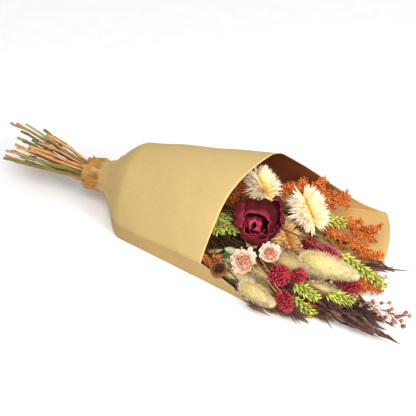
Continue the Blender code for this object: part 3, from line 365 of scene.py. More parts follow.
class Head:
    """A head's axes, base, length and width, moved to where its solid lies."""

    def __init__(self, place):
        base, tip, self.width = place
        self.base = np.array(base, float)
        self.length = float(np.linalg.norm(np.subtract(tip, base)))
        self.axes = axes_along(np.subtract(tip, base))
        self.side, _, self.way = self.axes

    def world(self, local):
        return self.base + np.asarray(local, float) @ self.axes

    def core(self, low, length, radius, rows, sides, widest=0.8):
        """A plump spindle on the head's own line."""
        return grains(self.world((0, 0, low)), self.way, self.side, length, radius, rows, sides, widest)

    def seat_on_stem(self, node):
        """The base is the middle of the stem's last ring."""
        points = vertices_of(node)
        self.base = points[np.argsort(points @ self.way)[-4:]].mean(axis=0)
        return self

    def seat_on_heart(self, node):
        """The base is just below the lowest point of the bloom's heart."""
        points = vertices_of(node)
        self.base = points[np.argmin(points @ self.way)] - HEART_GAP * self.way
        return self

    def seat_on_tips(self, node, tips):
        """The base is moved by what takes the foremost known tip to the solid's foremost point."""
        tips = self.world(tips)
        self.base = self.base + vertices_of(node)[-1] - tips[np.argmax(tips[:, 0])]


# Meshes from grids.


def add_to_scene(name, data, axes=None, place=None):
    """An object in the scene, turned by three axes as rows where it has them."""
    thing = bpy.data.objects.new(name, data)
    bpy.context.scene.collection.objects.link(thing)
    if axes is not None:
        thing.matrix_world = Matrix([(*axes[:, i], place[i]) for i in range(3)] + [(0, 0, 0, 1)])
    return thing


class Pile:
    """Grids of points gathered into one mesh, with three values for each point to colour by."""

    def __init__(self):
        self.parts = []
        self.count = 0

    def grids(self, points, wrap=False, slot=0, along=None, chance=None, across=None):
        """Adds n grids of k rows and m columns. Wrapped grids close round their columns.

        Unless they are given, along runs from 0 to 1 by row, across from -1 to 1 by column, and
        chance is drawn once for each grid.
        """
        points = points if points.ndim == 4 else points[None]
        n, k, m = points.shape[:3]
        rows = np.arange(k - 1)[:, None] * m
        columns = np.arange(m if wrap else m - 1)
        a = (rows + columns).ravel()
        b = (rows + (columns + 1) % m).ravel()
        quads = np.stack((a, b, b + m, a + m), axis=1) + (np.arange(n) * k * m)[:, None, None] + self.count
        quads = quads.reshape(-1, 4)
        chance = draw.random(n) if chance is None else chance
        values = (
            np.linspace(0, 1, k)[:, None] if along is None else along,
            np.linspace(-1, 1, m) if across is None else across,
            chance if np.ndim(chance) == 3 else np.reshape(chance, (-1, 1, 1)),
        )
        values = np.stack([np.broadcast_to(value, (n, k, m)) for value in values], -1)
        self.parts.append((points.reshape(-1, 3), quads, values.reshape(-1, 3), np.full(len(quads), slot)))
        self.count += n * k * m

    def make(self, node, slot, materials, inside=False, thickness=0.0):
        """The finished piece, in its solid's place and riding on the bouquet's one body."""
        points, faces, values, slots = (np.concatenate(lists) for lists in zip(*self.parts))
        if inside:
            points = keep_inside(points)
        name = node + "_look"
        mesh = bpy.data.meshes.new(name)
        mesh.vertices.add(len(points))
        mesh.vertices.foreach_set("co", (points * MM).ravel())
        mesh.loops.add(faces.size)
        mesh.loops.foreach_set("vertex_index", faces.astype(np.int32).ravel())
        mesh.polygons.add(len(faces))
        mesh.polygons.foreach_set("loop_start", np.arange(0, faces.size, 4, dtype=np.int32))
        mesh.polygons.foreach_set("material_index", slots.astype(np.int32))
        mesh.update(calc_edges=True)
        for index, title in enumerate(("along", "across", "chance")):
            layer = mesh.attributes.new(title, "FLOAT", "POINT")
            layer.data.foreach_set("value", values[:, index].astype(np.float32))
        mesh.shade_smooth()
        for skin in materials:
            mesh.materials.append(skin)
        piece = add_to_scene(name, mesh)
        if thickness:
            shell = piece.modifiers.new("thickness", "SOLIDIFY")
            shell.thickness = thickness * MM
            shell.offset = -1
        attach(piece, "root")
        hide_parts(node)
        return piece

    def make_with_stem(self, node, slot, *materials):
        """The same for a piece whose first grid is a stem."""
        self.make(node, slot, STEM_SKINS + list(materials), inside=True)


def stacked(x, y, z):
    """One array of points or vectors from three arrays or numbers."""
    return np.stack(np.broadcast_arrays(x, y, z), -1)


def put(x, y, z, origins, directions, guides):
    """Takes n grids from axes along their directions to the world."""
    turned = np.einsum("nkmi,nij->nkmj", stacked(x, y, z), frames_along(directions, guides))
    return np.atleast_2d(origins)[:, None, None] + turned


def column(values):
    """Makes one value, or a value for each of n repeats, fit for arithmetic with n grids."""
    return np.reshape(np.asarray(values, float), (-1, 1, 1))


def blades(origins, directions, guides, length, width, rows, widest=0.7, fold=0.25, bend=0.0, taper=0.8):
    """Pointed blades with a crease along the middle: bracts, leaves and chaff."""
    t = np.linspace(0, 1, rows)[:, None]
    s = np.linspace(-1, 1, 3)
    length = column(length)
    half = column(width) / 2 * (np.sin(math.pi * np.clip(t, 0.02, 0.995) ** widest) ** taper + 0.02)
    y = abs(s) * half * fold + column(bend) * length * t * t
    return put(s * half, y, t * length, origins, directions, guides)


def grains(origins, directions, guides, length, radius, rows, sides, widest, flat=1.0, bend=0.0):
    """Closed plump spindles: grains, florets, buds and berries."""
    t = np.linspace(0, 1, rows)[:, None]
    turn = np.linspace(0, 2 * math.pi, sides, endpoint=False)
    length = column(length)
    r = column(radius) * (np.sin(math.pi * np.clip(t, 0.012, 0.988) ** widest) ** 0.75)
    y = r * np.sin(turn) * flat + column(bend) * length * t * t
    return put(r * np.cos(turn), y, t * length, origins, directions, guides)


def hairs(origins, directions, guides, length, width, bend=0.0):
    """Hairs that narrow to a point."""
    t = np.linspace(0, 1, 4)[:, None]
    length = column(length)
    x = np.array((-1.0, 1.0)) * column(width) / 2 * (1.02 - t)
    return put(x, column(bend) * length * t * t, t * length, origins, directions, guides)


def smooth_path(points, spacing):
    """A smooth curve through points, with how far along them each of its own points lies."""
    points = np.asarray(points, float)
    steps = np.linalg.norm(np.diff(points, axis=0), axis=1)
    at = np.concatenate(((0,), np.cumsum(np.maximum(steps, 1e-6) ** 0.7)))
    slopes = np.gradient(points, at, axis=0)
    made, shares = [], []
    for k in range(len(points) - 1):
        span = at[k + 1] - at[k]
        count = max(2, int(round(steps[k] / spacing)))
        t = np.linspace(0, 1, count, endpoint=k == len(points) - 2)[:, None]
        made.append((2 * t**3 - 3 * t**2 + 1) * points[k] + (t**3 - 2 * t**2 + t) * slopes[k] * span
                    + (3 * t**2 - 2 * t**3) * points[k + 1] + (t**3 - t**2) * slopes[k + 1] * span)
        shares.append(k + t[:, 0])
    return np.concatenate(made), np.concatenate(shares)


def tube(path, radii, sides):
    """One grid round a path, closed at both ends by rings that shrink to a point."""
    tangent = unit(np.gradient(path, axis=0))
    side = np.zeros_like(path)
    side[0] = unit(np.cross(tangent[0], (0.2, 0.3, 0.9)))
    for k in range(1, len(path)):
        side[k] = unit(side[k - 1] - tangent[k] * (side[k - 1] @ tangent[k]))
    up = np.cross(tangent, side)
    turn = np.linspace(0, 2 * math.pi, sides, endpoint=False)
    ring = np.cos(turn)[None, :, None] * side[:, None] + np.sin(turn)[None, :, None] * up[:, None]
    body = path[:, None] + ring * np.reshape(radii, (-1, 1, 1))
    first = path[0] + ring[0] * 0.02
    last = path[-1] + ring[-1] * 0.02
    return np.concatenate((first[None], body, last[None]))


def twig_tubes(pile, starts, ends, radius, slot, sides=4, sag=0.0):
    """Thin straight or slightly bowed twigs between pairs of points."""
    t = np.linspace(0, 1, 5)[:, None]
    spans = np.atleast_2d(np.subtract(ends, starts))
    turn = np.linspace(0, 2 * math.pi, sides, endpoint=False)
    length = column(np.linalg.norm(spans, axis=-1))
    r = radius * (1 - 0.5 * t)
    y = r * np.sin(turn) + sag * length * t * (1 - t) * 4
    pile.grids(put(r * np.cos(turn), y, t * length, starts, spans, (0.1, 0.2, 0.97)), True, slot)


# Materials.


class Graph:
    """Short calls that add nodes to one material."""

    def __init__(self, name):
        self.material = bpy.data.materials.new(name)
        self.material.use_nodes = True
        self.tree = self.material.node_tree
        self.shader = self.tree.nodes["Principled BSDF"]

    def feed(self, node, inputs):
        """Gives a node's inputs other nodes' outputs, colours, scales or numbers."""
        for key, source in inputs.items():
            socket = node.inputs[key]
            if isinstance(source, bpy.types.NodeSocket):
                self.tree.links.new(source, socket)
            elif isinstance(source, tuple):
                socket.default_value = (*source, 1)[:len(socket.default_value)]
            else:
                socket.default_value = source
        return node

    def add(self, kind, inputs, **settings):
        node = self.tree.nodes.new("ShaderNode" + kind)
        for title, value in settings.items():
            setattr(node, title, value)
        return self.feed(node, inputs)

    def value(self, title):
        return self.add("Attribute", {}, attribute_name=title).outputs["Fac"]

    def noise(self, scale, stretch=(1, 1, 1), detail=4, rough=0.6):
        place = self.add("TexCoord", {}).outputs["Object"]
        place = self.add("Mapping", {"Vector": place, "Scale": stretch}).outputs["Vector"]
        inputs = {"Vector": place, "Scale": scale, "Detail": detail, "Roughness": rough}
        return self.add("TexNoise", inputs).outputs["Fac"]

    def ramp(self, source, *stops):
        """Colours, or greys given as one number, by the source's value."""
        node = self.add("ValToRGB", {"Fac": source})
        elements = node.color_ramp.elements
        while len(elements) < len(stops):
            elements.new(0.5)
        for element, (position, colour) in zip(elements, stops):
            element.position = position
            element.color = (*np.broadcast_to(colour, 3), 1)
        return node.outputs["Color"]

    def mix(self, share, first, second, how="MIX"):
        return self.add("Mix", {0: share, 6: first, 7: second}, data_type="RGBA", blend_type=how).outputs[2]

    def times(self, first, second):
        return self.mix(1.0, first, second, "MULTIPLY")

    def math(self, how, first, second=0.0):
        return self.add("Math", {0: first, 1: second}, operation=how, use_clamp=True).outputs[0]

    def bump(self, height, distance, strength):
        node = self.add("Bump", {"Distance": distance, "Strength": strength, "Height": height})
        self.feed(self.shader, {"Normal": node.outputs["Normal"]})

    def finish(self, colour, roughness, specular):
        self.feed(self.shader, {"Base Color": colour, "Roughness": roughness, "Specular IOR Level": specular})
        return self.material


def scaled(colour, amount):
    return tuple(min(1.0, c * amount) for c in colour)


def shades(dark, light):
    """From a darker piece to a lighter one of the same kind."""
    return (0.0, dark), (0.6, 1.0), (1.0, light)


def plant_material(name, stops, hues, roughness=0.8, grain=420, specular=0.25, edge=None, rib=None):
    """Colour along each petal or grain, a shade or hue of its own for each, fine veins and a bump."""
    graph = Graph(name)
    along = graph.value("along")
    colour = graph.times(graph.ramp(along, *stops), graph.ramp(graph.value("chance"), *hues))
    speck = graph.noise(grain, detail=3)
    colour = graph.times(colour, graph.ramp(speck, (0.3, 0.72), (0.7, 1.12)))
    if rib:
        middle = graph.math("ABSOLUTE", graph.value("across"))
        colour = graph.mix(graph.ramp(middle, (0.0, 1.0), (0.22, 0.0)), colour, rib)
    if edge:
        colour = graph.mix(graph.ramp(along, (0.9, 0.0), (0.99, 1.0)), colour, edge)
    graph.bump(speck, 0.0006, 0.5)
    return graph.finish(colour, roughness, specular)


def kraft_material(name, base, inner=False):
    """Wrapping paper: faint fibres and blotches; outside, painted shade that makes the gathered neck browner
    in its creases and darkens the side nearest the camera, and a painted highlight on the mouth's edge;
    inside, painted shade that turns the far side's top and the deep inside darker and redder.
    """
    graph = Graph(name)
    blotch = graph.noise(9, (1, 1, 1), 5, 0.55)
    fibre = graph.noise(700, (0.12, 1, 1), 2, 0.7)
    across = graph.value("across")
    colour = graph.ramp(blotch, (0.25, scaled(base, 0.93)), (0.75, scaled(base, 1.05)))
    colour = graph.times(colour, graph.ramp(fibre, (0.2, 0.93), (0.8, 1.05)))
    if inner:
        # Painted shade: the far wall's top and the deep inside turn darker and redder.
        wall = graph.ramp(across, (0.0, 1.0), (0.5, (0.55, 0.34, 0.22)), (1.0, (0.26, 0.10, 0.06)))
        colour = graph.times(colour, wall)
    else:
        # Painted shade on the gathered neck: browner and darker in its creases.
        crease = graph.noise(75, (0.6, 1, 1), 6, 0.75)
        neck_shade_browns = (0.3, (0.26, 0.10, 0.022)), (0.5, (0.43, 0.21, 0.055)), (0.7, (0.60, 0.38, 0.14))
        colour = graph.mix(graph.value("chance"), colour, graph.ramp(crease, *neck_shade_browns))
        # Painted shade darkens the near wall.
        near = graph.ramp(graph.math("MULTIPLY", across, -1.0), (0.0, 1.0), (1.0, (0.84, 0.80, 0.77)))
        # A painted highlight lightens the mouth's edge.
        rim = graph.ramp(graph.value("along"), (0.990, 0.0), (0.996, 1.0))
        colour = graph.mix(rim, graph.times(colour, near), scaled(base, 1.25))
    graph.bump(fibre, 0.0003, 0.25)
    return graph.finish(colour, 0.82, 0.2)


STEM_COLOURS = {
    "peach": ((0.46, 0.18, 0.05), (0.74, 0.40, 0.16)),
    "ochre": ((0.28, 0.17, 0.04), (0.54, 0.37, 0.12)),
    "olive": ((0.13, 0.15, 0.03), (0.26, 0.27, 0.07)),
    "pale": ((0.34, 0.35, 0.15), (0.55, 0.53, 0.28)),
    "dark": ((0.02, 0.022, 0.008), (0.07, 0.075, 0.03)),
    "mauve": ((0.22, 0.07, 0.06), (0.36, 0.15, 0.12)),
}
# Painted shade on a stem inside the paper and just below its head, and the cut face's own colour.
PAINTED_SHADE_UNDER_PAPER, PAINTED_SHADE_UNDER_HEAD, CUT_FACE = (0.15, 0.11, 0.07), (0.5, 0.36, 0.25), (0.8, 0.66, 0.42)


def stem_material(kind):
    """Dry stalk: long streaks, painted shade where the paper covers it and just below its head, and a pale
    cut face.
    """
    dark, light = STEM_COLOURS[kind]
    graph = Graph("stem_" + kind)
    along = graph.value("along")
    streak = graph.noise(260, (0.08, 1, 1), 4, 0.65)
    colour = graph.ramp(streak, (0.3, dark), (0.7, light))
    colour = graph.times(colour, graph.ramp(graph.value("chance"), (0.0, 0.75), (1.0, 1.2)))
    stem_shade = graph.ramp(along, (0.3, 1.0), (0.5, PAINTED_SHADE_UNDER_PAPER), (0.85, PAINTED_SHADE_UNDER_PAPER), (1.0, PAINTED_SHADE_UNDER_HEAD))
    cut = graph.ramp(along, (0.0, 1.0), (0.004, 0.0))
    face = tuple(lerp(np.array(light), np.array(CUT_FACE), 0.6))
    colour = graph.mix(cut, graph.times(colour, stem_shade), face)
    graph.bump(streak, 0.0005, 0.6)
    return graph.finish(colour, 0.7, 0.3)


# A piece with a stem has the stems' skins first, so OWN is the slot of the first one of its own.
STEM_ORDER = list(STEM_COLOURS)
STEM_SKINS = [stem_material(kind) for kind in STEM_ORDER]
OWN = len(STEM_SKINS)

# Painted shade darkens each petal toward its foot, in the hollows; a painted highlight lightens the rolled
# rims; the hues carry each petal's painted shade.
ROSE_SKIN = plant_material(
    "velvet_burgundy",
    ((0.0, (0.018, 0.002, 0.002)), (0.5, (0.066, 0.005, 0.007)), (0.9, (0.098, 0.008, 0.012))),
    ((0.0, (0.6, 0.5, 0.5)), (0.5, 1.0), (1.0, (1.8, 2.1, 1.9))), 0.8, 150, 0.08, (0.25, 0.022, 0.045),
)
# The bud's skin is the velvet painted brighter, as painted light where the bud is lit, and darker at its foot
# as painted shade.
ROSE_BUD = plant_material(
    "velvet_bud", ((0.0, (0.05, 0.003, 0.008)), (0.5, (0.24, 0.014, 0.04)), (1.0, (0.46, 0.040, 0.095))),
    shades(0.8, 1.2), 0.75, 150, 0.12,
)
CREAM_BRACT = plant_material(
    "cream_bract", ((0.0, (0.80, 0.25, 0.02)), (0.10, (0.98, 0.58, 0.18)), (0.28, (1.0, 0.80, 0.42)),
                    (0.60, (1.0, 0.89, 0.60)), (0.92, (1.0, 0.96, 0.84))),
    ((0.0, (0.92, 0.70, 0.42)), (0.4, (1.0, 0.94, 0.84)), (1.0, 1.03)), 0.6, 300,
)
GOLD_BRACT = plant_material(
    "gold_bract", ((0.0, (0.40, 0.13, 0.02)), (0.35, (0.68, 0.33, 0.09)), (0.9, (0.90, 0.60, 0.27))),
    shades(0.55, 1.15), 0.7, 300,
)
PINK_PETAL = plant_material(
    "pink_petal", ((0.0, (0.66, 0.20, 0.10)), (0.3, (0.94, 0.64, 0.45)), (0.6, (0.98, 0.84, 0.66)),
                   (1.0, (0.98, 0.86, 0.70))),
    shades(0.70, 1.05), 0.7, 260, edge=(0.80, 0.43, 0.27),
)
PINK_HEART = plant_material(
    "pink_heart", ((0.0, (0.30, 0.05, 0.025)), (0.5, (0.66, 0.28, 0.16)), (1.0, (0.90, 0.62, 0.44))),
    shades(0.6, 1.1), 0.7, 260, edge=(0.52, 0.16, 0.08),
)
FUR = plant_material(
    "straw_fur", ((0.0, (0.74, 0.56, 0.20)), (0.35, (0.96, 0.81, 0.44)), (1.0, (0.98, 0.90, 0.67))),
    shades(0.86, 1.03), 0.9, 200,
)
FUR_CORE = plant_material(
    "straw_core", ((0.0, (0.70, 0.60, 0.24)), (1.0, (0.84, 0.76, 0.38))), shades(0.9, 1.05), 0.95, 500,
)
# Each floret is darker at its foot as painted shade between the florets, and its paler pinkish tip is partly
# painted highlight.
CRIMSON_SKIN = plant_material(
    "crimson_floret", ((0.0, (0.06, 0.002, 0.004)), (0.5, (0.27, 0.009, 0.021)), (0.85, (0.46, 0.024, 0.042)),
                       (1.0, (0.62, 0.09, 0.10))),
    shades(0.45, 1.25), 0.65, 300,
)
MAUVE_HAIR = plant_material(
    "mauve_hair", ((0.0, (0.22, 0.05, 0.08)), (1.0, (0.62, 0.40, 0.36))), shades(0.6, 1.2), 0.85,
)
# Each grain is darker toward its foot as painted shade in the gaps between grains.
LIME_GRAIN = plant_material(
    "lime_grain", ((0.0, (0.08, 0.11, 0.010)), (0.35, (0.40, 0.43, 0.05)), (0.7, (0.66, 0.66, 0.15)),
                   (1.0, (0.86, 0.82, 0.33))),
    ((0.0, (0.50, 0.60, 0.45)), (0.5, (0.95, 1.0, 0.8)), (1.0, (1.25, 1.12, 1.1))), 0.6,
)
ORANGE_FLORET = plant_material(
    "orange_floret", ((0.0, (0.36, 0.065, 0.010)), (0.5, (0.84, 0.20, 0.030)), (1.0, (1.0, 0.42, 0.11))),
    ((0.0, (0.45, 0.32, 0.35)), (0.5, (1.0, 0.85, 0.8)), (1.0, (1.25, 1.3, 1.2))), 0.75, 500,
)
ORANGE_TWIG = plant_material(
    "orange_twig", ((0.0, (0.16, 0.05, 0.015)), (1.0, (0.36, 0.11, 0.025))), shades(0.55, 1.2), 0.75,
)
OAT_CHAFF = plant_material(
    "dark_chaff", ((0.0, (0.030, 0.014, 0.010)), (0.5, (0.10, 0.045, 0.032)), (1.0, (0.20, 0.105, 0.08))),
    shades(0.3, 2.1), 0.7, 300, 0.12, rib=(0.32, 0.19, 0.14),
)
FLAX_BALL = plant_material(
    "flax_ball", ((0.0, (0.22, 0.07, 0.04)), (0.5, (0.42, 0.16, 0.09)), (1.0, (0.56, 0.28, 0.17))),
    shades(0.6, 1.2), 0.45, 350, 0.4,
)
LEAF_SKIN = plant_material(
    "grey_green_leaf", ((0.0, (0.08, 0.12, 0.04)), (0.5, (0.26, 0.34, 0.14)), (1.0, (0.46, 0.54, 0.28))),
    shades(0.3, 1.5), 0.7, 240, 0.15, rib=(0.62, 0.68, 0.42),
)
RUST_SCALE = plant_material(
    "rust_scale", ((0.0, (0.03, 0.008, 0.004)), (0.6, (0.13, 0.04, 0.018)), (1.0, (0.34, 0.14, 0.065))),
    shades(0.7, 1.2),
)
# The leaves are nearly black: withered filler that also stands in as painted shade in the gaps between heads.
DRY_LEAF = plant_material(
    "dry_leaf", ((0.0, (0.022, 0.016, 0.006)), (0.6, (0.06, 0.038, 0.014)), (1.0, (0.11, 0.07, 0.03))),
    ((0.0, (0.4, 0.7, 0.4)), (0.4, (0.8, 1.3, 0.7)), (0.7, (1.2, 1.0, 0.8)), (1.0, (2.6, 1.8, 1.2))),
    0.85, 300, 0.2,
)
GREEN_SEPAL = plant_material(
    "green_sepal", ((0.0, (0.07, 0.09, 0.02)), (1.0, (0.16, 0.17, 0.06))), shades(0.55, 1.2),
)
TWINE_SKIN = plant_material(
    "twine_fibre", ((0.0, (0.42, 0.30, 0.16)), (1.0, (0.58, 0.45, 0.28))), shades(0.8, 1.1), 0.9, 900,
)
KRAFT = kraft_material("kraft_outside", (0.545, 0.385, 0.155))
# The inside is the same paper, with painted shade on its far wall and deep inside.
KRAFT_INSIDE = kraft_material("kraft_inside", (0.60, 0.39, 0.145), True)


# Sub-parts.


def make_sleeve():
    """The paper: a fine sheet along the same ribs, creased at its folds and crumpled at the neck."""
    shares = np.arange(len(RIBS) * RIB_SPLIT)[::-1] / RIB_SPLIT
    low = np.floor(shares).astype(int)
    high = (low + 1) % len(RIBS)
    part = shares - low
    mouth = lerp(RIB_MOUTH[low], RIB_MOUTH[high], part)
    neck_rows = np.linspace(NECK_END_X, PLEATS_END_X, NECK_ROWS)[:, None] * np.ones_like(part)
    cone_rows = lerp(PLEATS_END_X, mouth, np.linspace(0, 1, CONE_ROWS + 1)[1:, None])
    x = np.concatenate((neck_rows, cone_rows))
    section = sleeve_section(x)
    index = np.arange(len(shares))
    section = lerp(section[:, index, low], section[:, index, high], part[:, None])
    grid = np.concatenate((x[..., None], section), -1)
    loose = ~np.isin(shares, SHARP_RIBS)
    for _ in range(10):
        around = (np.roll(grid, 1, axis=1) + np.roll(grid, -1, axis=1)) / 2
        grid[:, loose] = lerp(grid, around, 0.5)[:, loose]
    # This x is a view of the grid, so it follows when the neck's edge is made ragged.
    x = grid[..., 0]
    fade = 1 - smooth_step((x - NECK_TO_X) / (PLEATS_END_X - NECK_TO_X))
    out = unit(grid[..., 1:] - NECK_CENTRE)
    turn = np.arctan2(out[..., 1], out[..., 0])
    pleat = PLEAT_DEPTH * fade * np.cos(PLEAT_COUNT * turn + 0.9 * np.sin(x / 9))
    pleat += 1.1 * fade * waves(grid, 13, 5) + 0.6 * fade * waves(grid, 5.5, 6)
    gathered = 1 - smooth_step((x - NECK_TO_X) / 110)
    dent = (1 - fade) * (0.9 * waves(grid, 95, 7) + 0.25 * waves(grid, 30, 8))
    dent += (1 - fade) * gathered * 1.3 * np.cos(8 * turn + 1.6 * np.sin(x / 25) + waves(grid, 60, 12))
    upper = smooth_step(grid[..., 2] / 14)
    grid[..., 1:] += out * (pleat + dent * upper)[..., None]
    ragged = smooth_step((NECK_END_X + 6 - x) / 6)
    grid[..., 0] += ragged * (1.6 * waves(grid * (0, 1, 1), 11, 9))
    grid[..., 2] = np.maximum(grid[..., 2], 0.0)
    # Masks for painted shade, carried to the paper as chance and across: the neck past its fold, made browner
    # in its creases; the near wall, darker outside; the far wall's top and the deep inside, darker and redder
    # inside.
    fold_x = NECK_FOLD_X + 2.5 * waves(grid * (0, 1, 1), 15, 31) + 0.12 * abs(grid[..., 1] - NECK_CENTRE[0])
    neck = smooth_step((fold_x - x) / 4)
    near = smooth_step((2.1 - shares) / 0.2)
    far = smooth_step((grid[..., 1] - 20) / 50) * smooth_step((grid[..., 2] - 6) / 30)
    deep = 0.55 + 0.45 * smooth_step((110 - x) / 60)
    # Along reaches 1 at the mouth, where the outside gets a painted highlight on its edge.
    along = (np.arange(len(grid)) + 1)[:, None] / len(grid)
    pile = Pile()
    pile.grids(grid, True, along=along, chance=neck[None], across=far * deep - near * (1 - neck))
    piece = pile.make("paper_sleeve", "kraft", [KRAFT, KRAFT_INSIDE], thickness=SHEET_THICKNESS)
    piece.modifiers["thickness"].material_offset = 1


def tail_colour(path):
    """Greener stems lie at the far side, darker ones at the bottom and tan ones between."""
    y, z = path[0, 1:] - TAIL_MIDDLE
    pick = tail_draw.random()
    if z < -12:
        return "dark" if pick < 0.4 else "peach" if pick < 0.9 else "olive"
    if y > 14:
        return "pale" if pick < 0.35 else "olive" if pick < 0.7 else "ochre"
    return "peach" if pick < 0.65 else "olive" if pick < 0.79 else "ochre" if pick < 0.94 else "mauve"


def add_stem(pile, node, base, back_off=4):
    """A stalk with knots, a slight wander behind the neck and a pale cut face. Returns its middle line."""
    centres, radii = stem_rings(node, base, back_off)
    path, share = smooth_path(centres, 4.0)
    kind = tail_colour(path)
    thick = np.interp(share, np.arange(len(radii)), radii)
    behind = smooth_step((NECK_END_X - 2 - path[:, 0]) / 40)
    apart = path + 50 * len(pile.parts)
    wander = np.stack([waves(apart, 46, int(draw.integers(1e6))) for _ in range(2)], -1)
    path[:, 1:] += wander * behind[:, None] * 1.3
    for _ in range(3):
        knot = draw.uniform(path[0, 0], NECK_END_X - 9)
        thick = thick * (1 + 0.4 * np.exp(-(((path[:, 0] - knot) / 2.0) ** 2)))
    body = tube(path, thick * (0.78 if kind in ("mauve", "ochre") else 0.9), 8)
    along = np.concatenate(((0.0,), np.linspace(0.0, 1, len(body) - 1)))
    along[2:] = np.maximum(along[2:], 0.01)
    pile.grids(body, True, STEM_ORDER.index(kind), along[:, None])
    return path


def dry_leaves(pile, path, count, slot):
    """Withered leaves and thin twigs that point forward along a stem, from the middle of the sleeve on;
    nearly black, they also stand in as painted shade in the gaps between heads.
    """
    index = np.sort(draw.choice(np.flatnonzero(path[:-1, 0] > LEAVES_FROM_X), count))
    forward = unit(path[index + 1] - path[index])
    aside = unit(np.cross(forward, draw.normal(size=(count, 3))))
    aside[:, 2] = -abs(aside[:, 2]) * 0.7
    directions = forward + aside * draw.uniform(0.15, 1.0, (count, 1))
    length = draw.uniform(*LEAF_LENGTHS, count)
    width = draw.uniform(*LEAF_WIDTHS, count) * length
    width[draw.random(count) < TWIG_SHARE] = TWIG_WIDTH
    bend = draw.uniform(-0.25, 0.25, count)
    made = blades(path[index], directions, aside, length, width, 6, 0.7, 0.35, bend)
    tips = made[:, -1, 1]
    clear = (tips[:, 1] > FRONT_HEADS_Y) | (tips[:, 2] < FRONT_HEADS_LOW)
    for base, tip, reach in (ROSE, *EVERLASTINGS, *SPRAY_ROSES, *BUNNY_TAILS, *CRIMSON_HEADS):
        span = np.subtract(tip, base)
        for points in (tips, made[:, 3, 1]):
            share = np.clip((points - base) @ span / (span @ span), 0, 1)
            off = points - base - share[:, None] * span
            off[:, 2] *= np.where(off[:, 2] > 0, 0.4, 1.0)
            clear &= np.linalg.norm(off, axis=1) > reach * 0.9
    pile.grids(made[clear], slot=slot)


def stem_piece(node, base, slot, back_off=1.5):
    """A stem that is a piece by itself, with its withered leaves."""
    pile = Pile()
    dry_leaves(pile, add_stem(pile, node, base, back_off), LEAVES["stem"], OWN)
    pile.make_with_stem(node, slot, DRY_LEAF)


def petal_grid(turn, half, foot, rim, low, height, roll, drop, ruffle, seed, columns=13, waviness=1.0):
    """A cupped petal in the bloom's own axes, with a wavy rim that rolls outward."""
    t = np.linspace(0, 1, 12)[:, None]
    s = np.linspace(-1, 1, columns)
    angle = turn + half * s * (0.45 + 0.55 * np.sin(math.pi / 2 * np.clip(t * 1.3, 0, 1)))
    radius = foot + (rim - foot) * t**0.8 + roll * np.clip(t - 0.62, 0, None) ** 1.5 * 4
    radius = radius + ruffle * np.sin(s * 5.2 * waviness + seed) * t * t
    rise = lerp(low, height, t**1.25) - drop * abs(s) ** 3 * t - roll * np.clip(t - 0.82, 0, None) * 3.2
    rise = rise + ruffle * 0.8 * np.cos(s * 6.1 * waviness + seed * 2) * t * t
    return stacked(radius * np.cos(angle), radius * np.sin(angle), rise)


def evenly(corners, count):
    """Points at even steps along a rounded line through the given corners."""
    corners = np.array(corners, float)
    path, _ = smooth_path(corners, np.linalg.norm(np.diff(corners, axis=0), axis=1).min() / 6)
    steps = np.linalg.norm(np.diff(path, axis=0), axis=1)
    at = np.concatenate(((0,), np.cumsum(steps)))
    wanted = np.linspace(0, at[-1], count)
    return np.stack([np.interp(wanted, at, line) for line in path.T], -1)


def wrapped_petal(outline, rim, low, high, columns=31, rows=20):
    """A petal that swells out to its outline, then leans in to its rim and rolls back there."""
    outline, rim = evenly(outline, columns), evenly(rim, columns)
    t = np.linspace(0, 1, rows)[:, None, None]

    def level(plan, height, share=1.0):
        plan = plan * share * ROSE_PIXEL - (height - ROSE_SEEN_AT) * ROSE_LEAN
        return np.insert(plan @ ROSE_TURN, 2, height, axis=1)

    foot = level(outline, 1.0, 0.15)
    swell = level(outline, low * 0.45, 1.12)
    lean = level(outline, high * 0.86, 1.06)
    top = level(rim, high)
    grid = (1 - t) ** 3 * foot + 3 * (1 - t) ** 2 * t * swell + 3 * (1 - t) * t**2 * lean + t**3 * top
    roll = smooth_step((t - 0.86) / 0.14)
    s = np.linspace(0, 1, columns)[:, None]
    fold = 0.7 * np.sin(s * 17 + 2.5 * np.sin(s * 5 + high) + t * 1.5) * np.sin(math.pi * t) ** 0.6
    return grid + unit(lean - top) * (fold + 1.5 * roll) - roll * 0.9 * UP


def make_rose():
    """Broad velvety petals that wrap over a small bud, painted brighter where it is lit, with a dark hollow
    beside it.
    """
    head = Head(ROSE).seat_on_heart("rose_bloom")
    pile = Pile()
    # Each petal's last value is its painted shade: how lit or shaded the petal is painted, given as its
    # chance.
    for seed, (outline, rim, low, high, slot, shade) in enumerate(ROSE_PETALS):
        grid = wrapped_petal(outline, rim, low, high)
        grid = crumple(crumple(grid, 2.0, 13, 60 + 5 * seed), 0.5, 5.5, 90 + 5 * seed)
        pile.grids(head.world(grid), slot=slot, chance=shade)
    pile.make("rose_bloom", "burgundy", [ROSE_SKIN, ROSE_BUD], thickness=0.5)
    stem = Pile()
    add_stem(stem, "rose_stem", head.base, 18)
    turn = np.arange(SEPALS) * 2 * math.pi / SEPALS
    ways = stacked(np.cos(turn), np.sin(turn), -0.25) @ head.axes
    stem.grids(blades(head.world((0, 0, -2.8)), ways, head.way, 17, 5.5, 7, 0.6, 0.2), slot=OWN)
    stem.grids(head.core(-7, 8, 3.6, 7, 10), True, OWN)
    stem.make_with_stem("rose_stem", "olive_stem", GREEN_SEPAL)


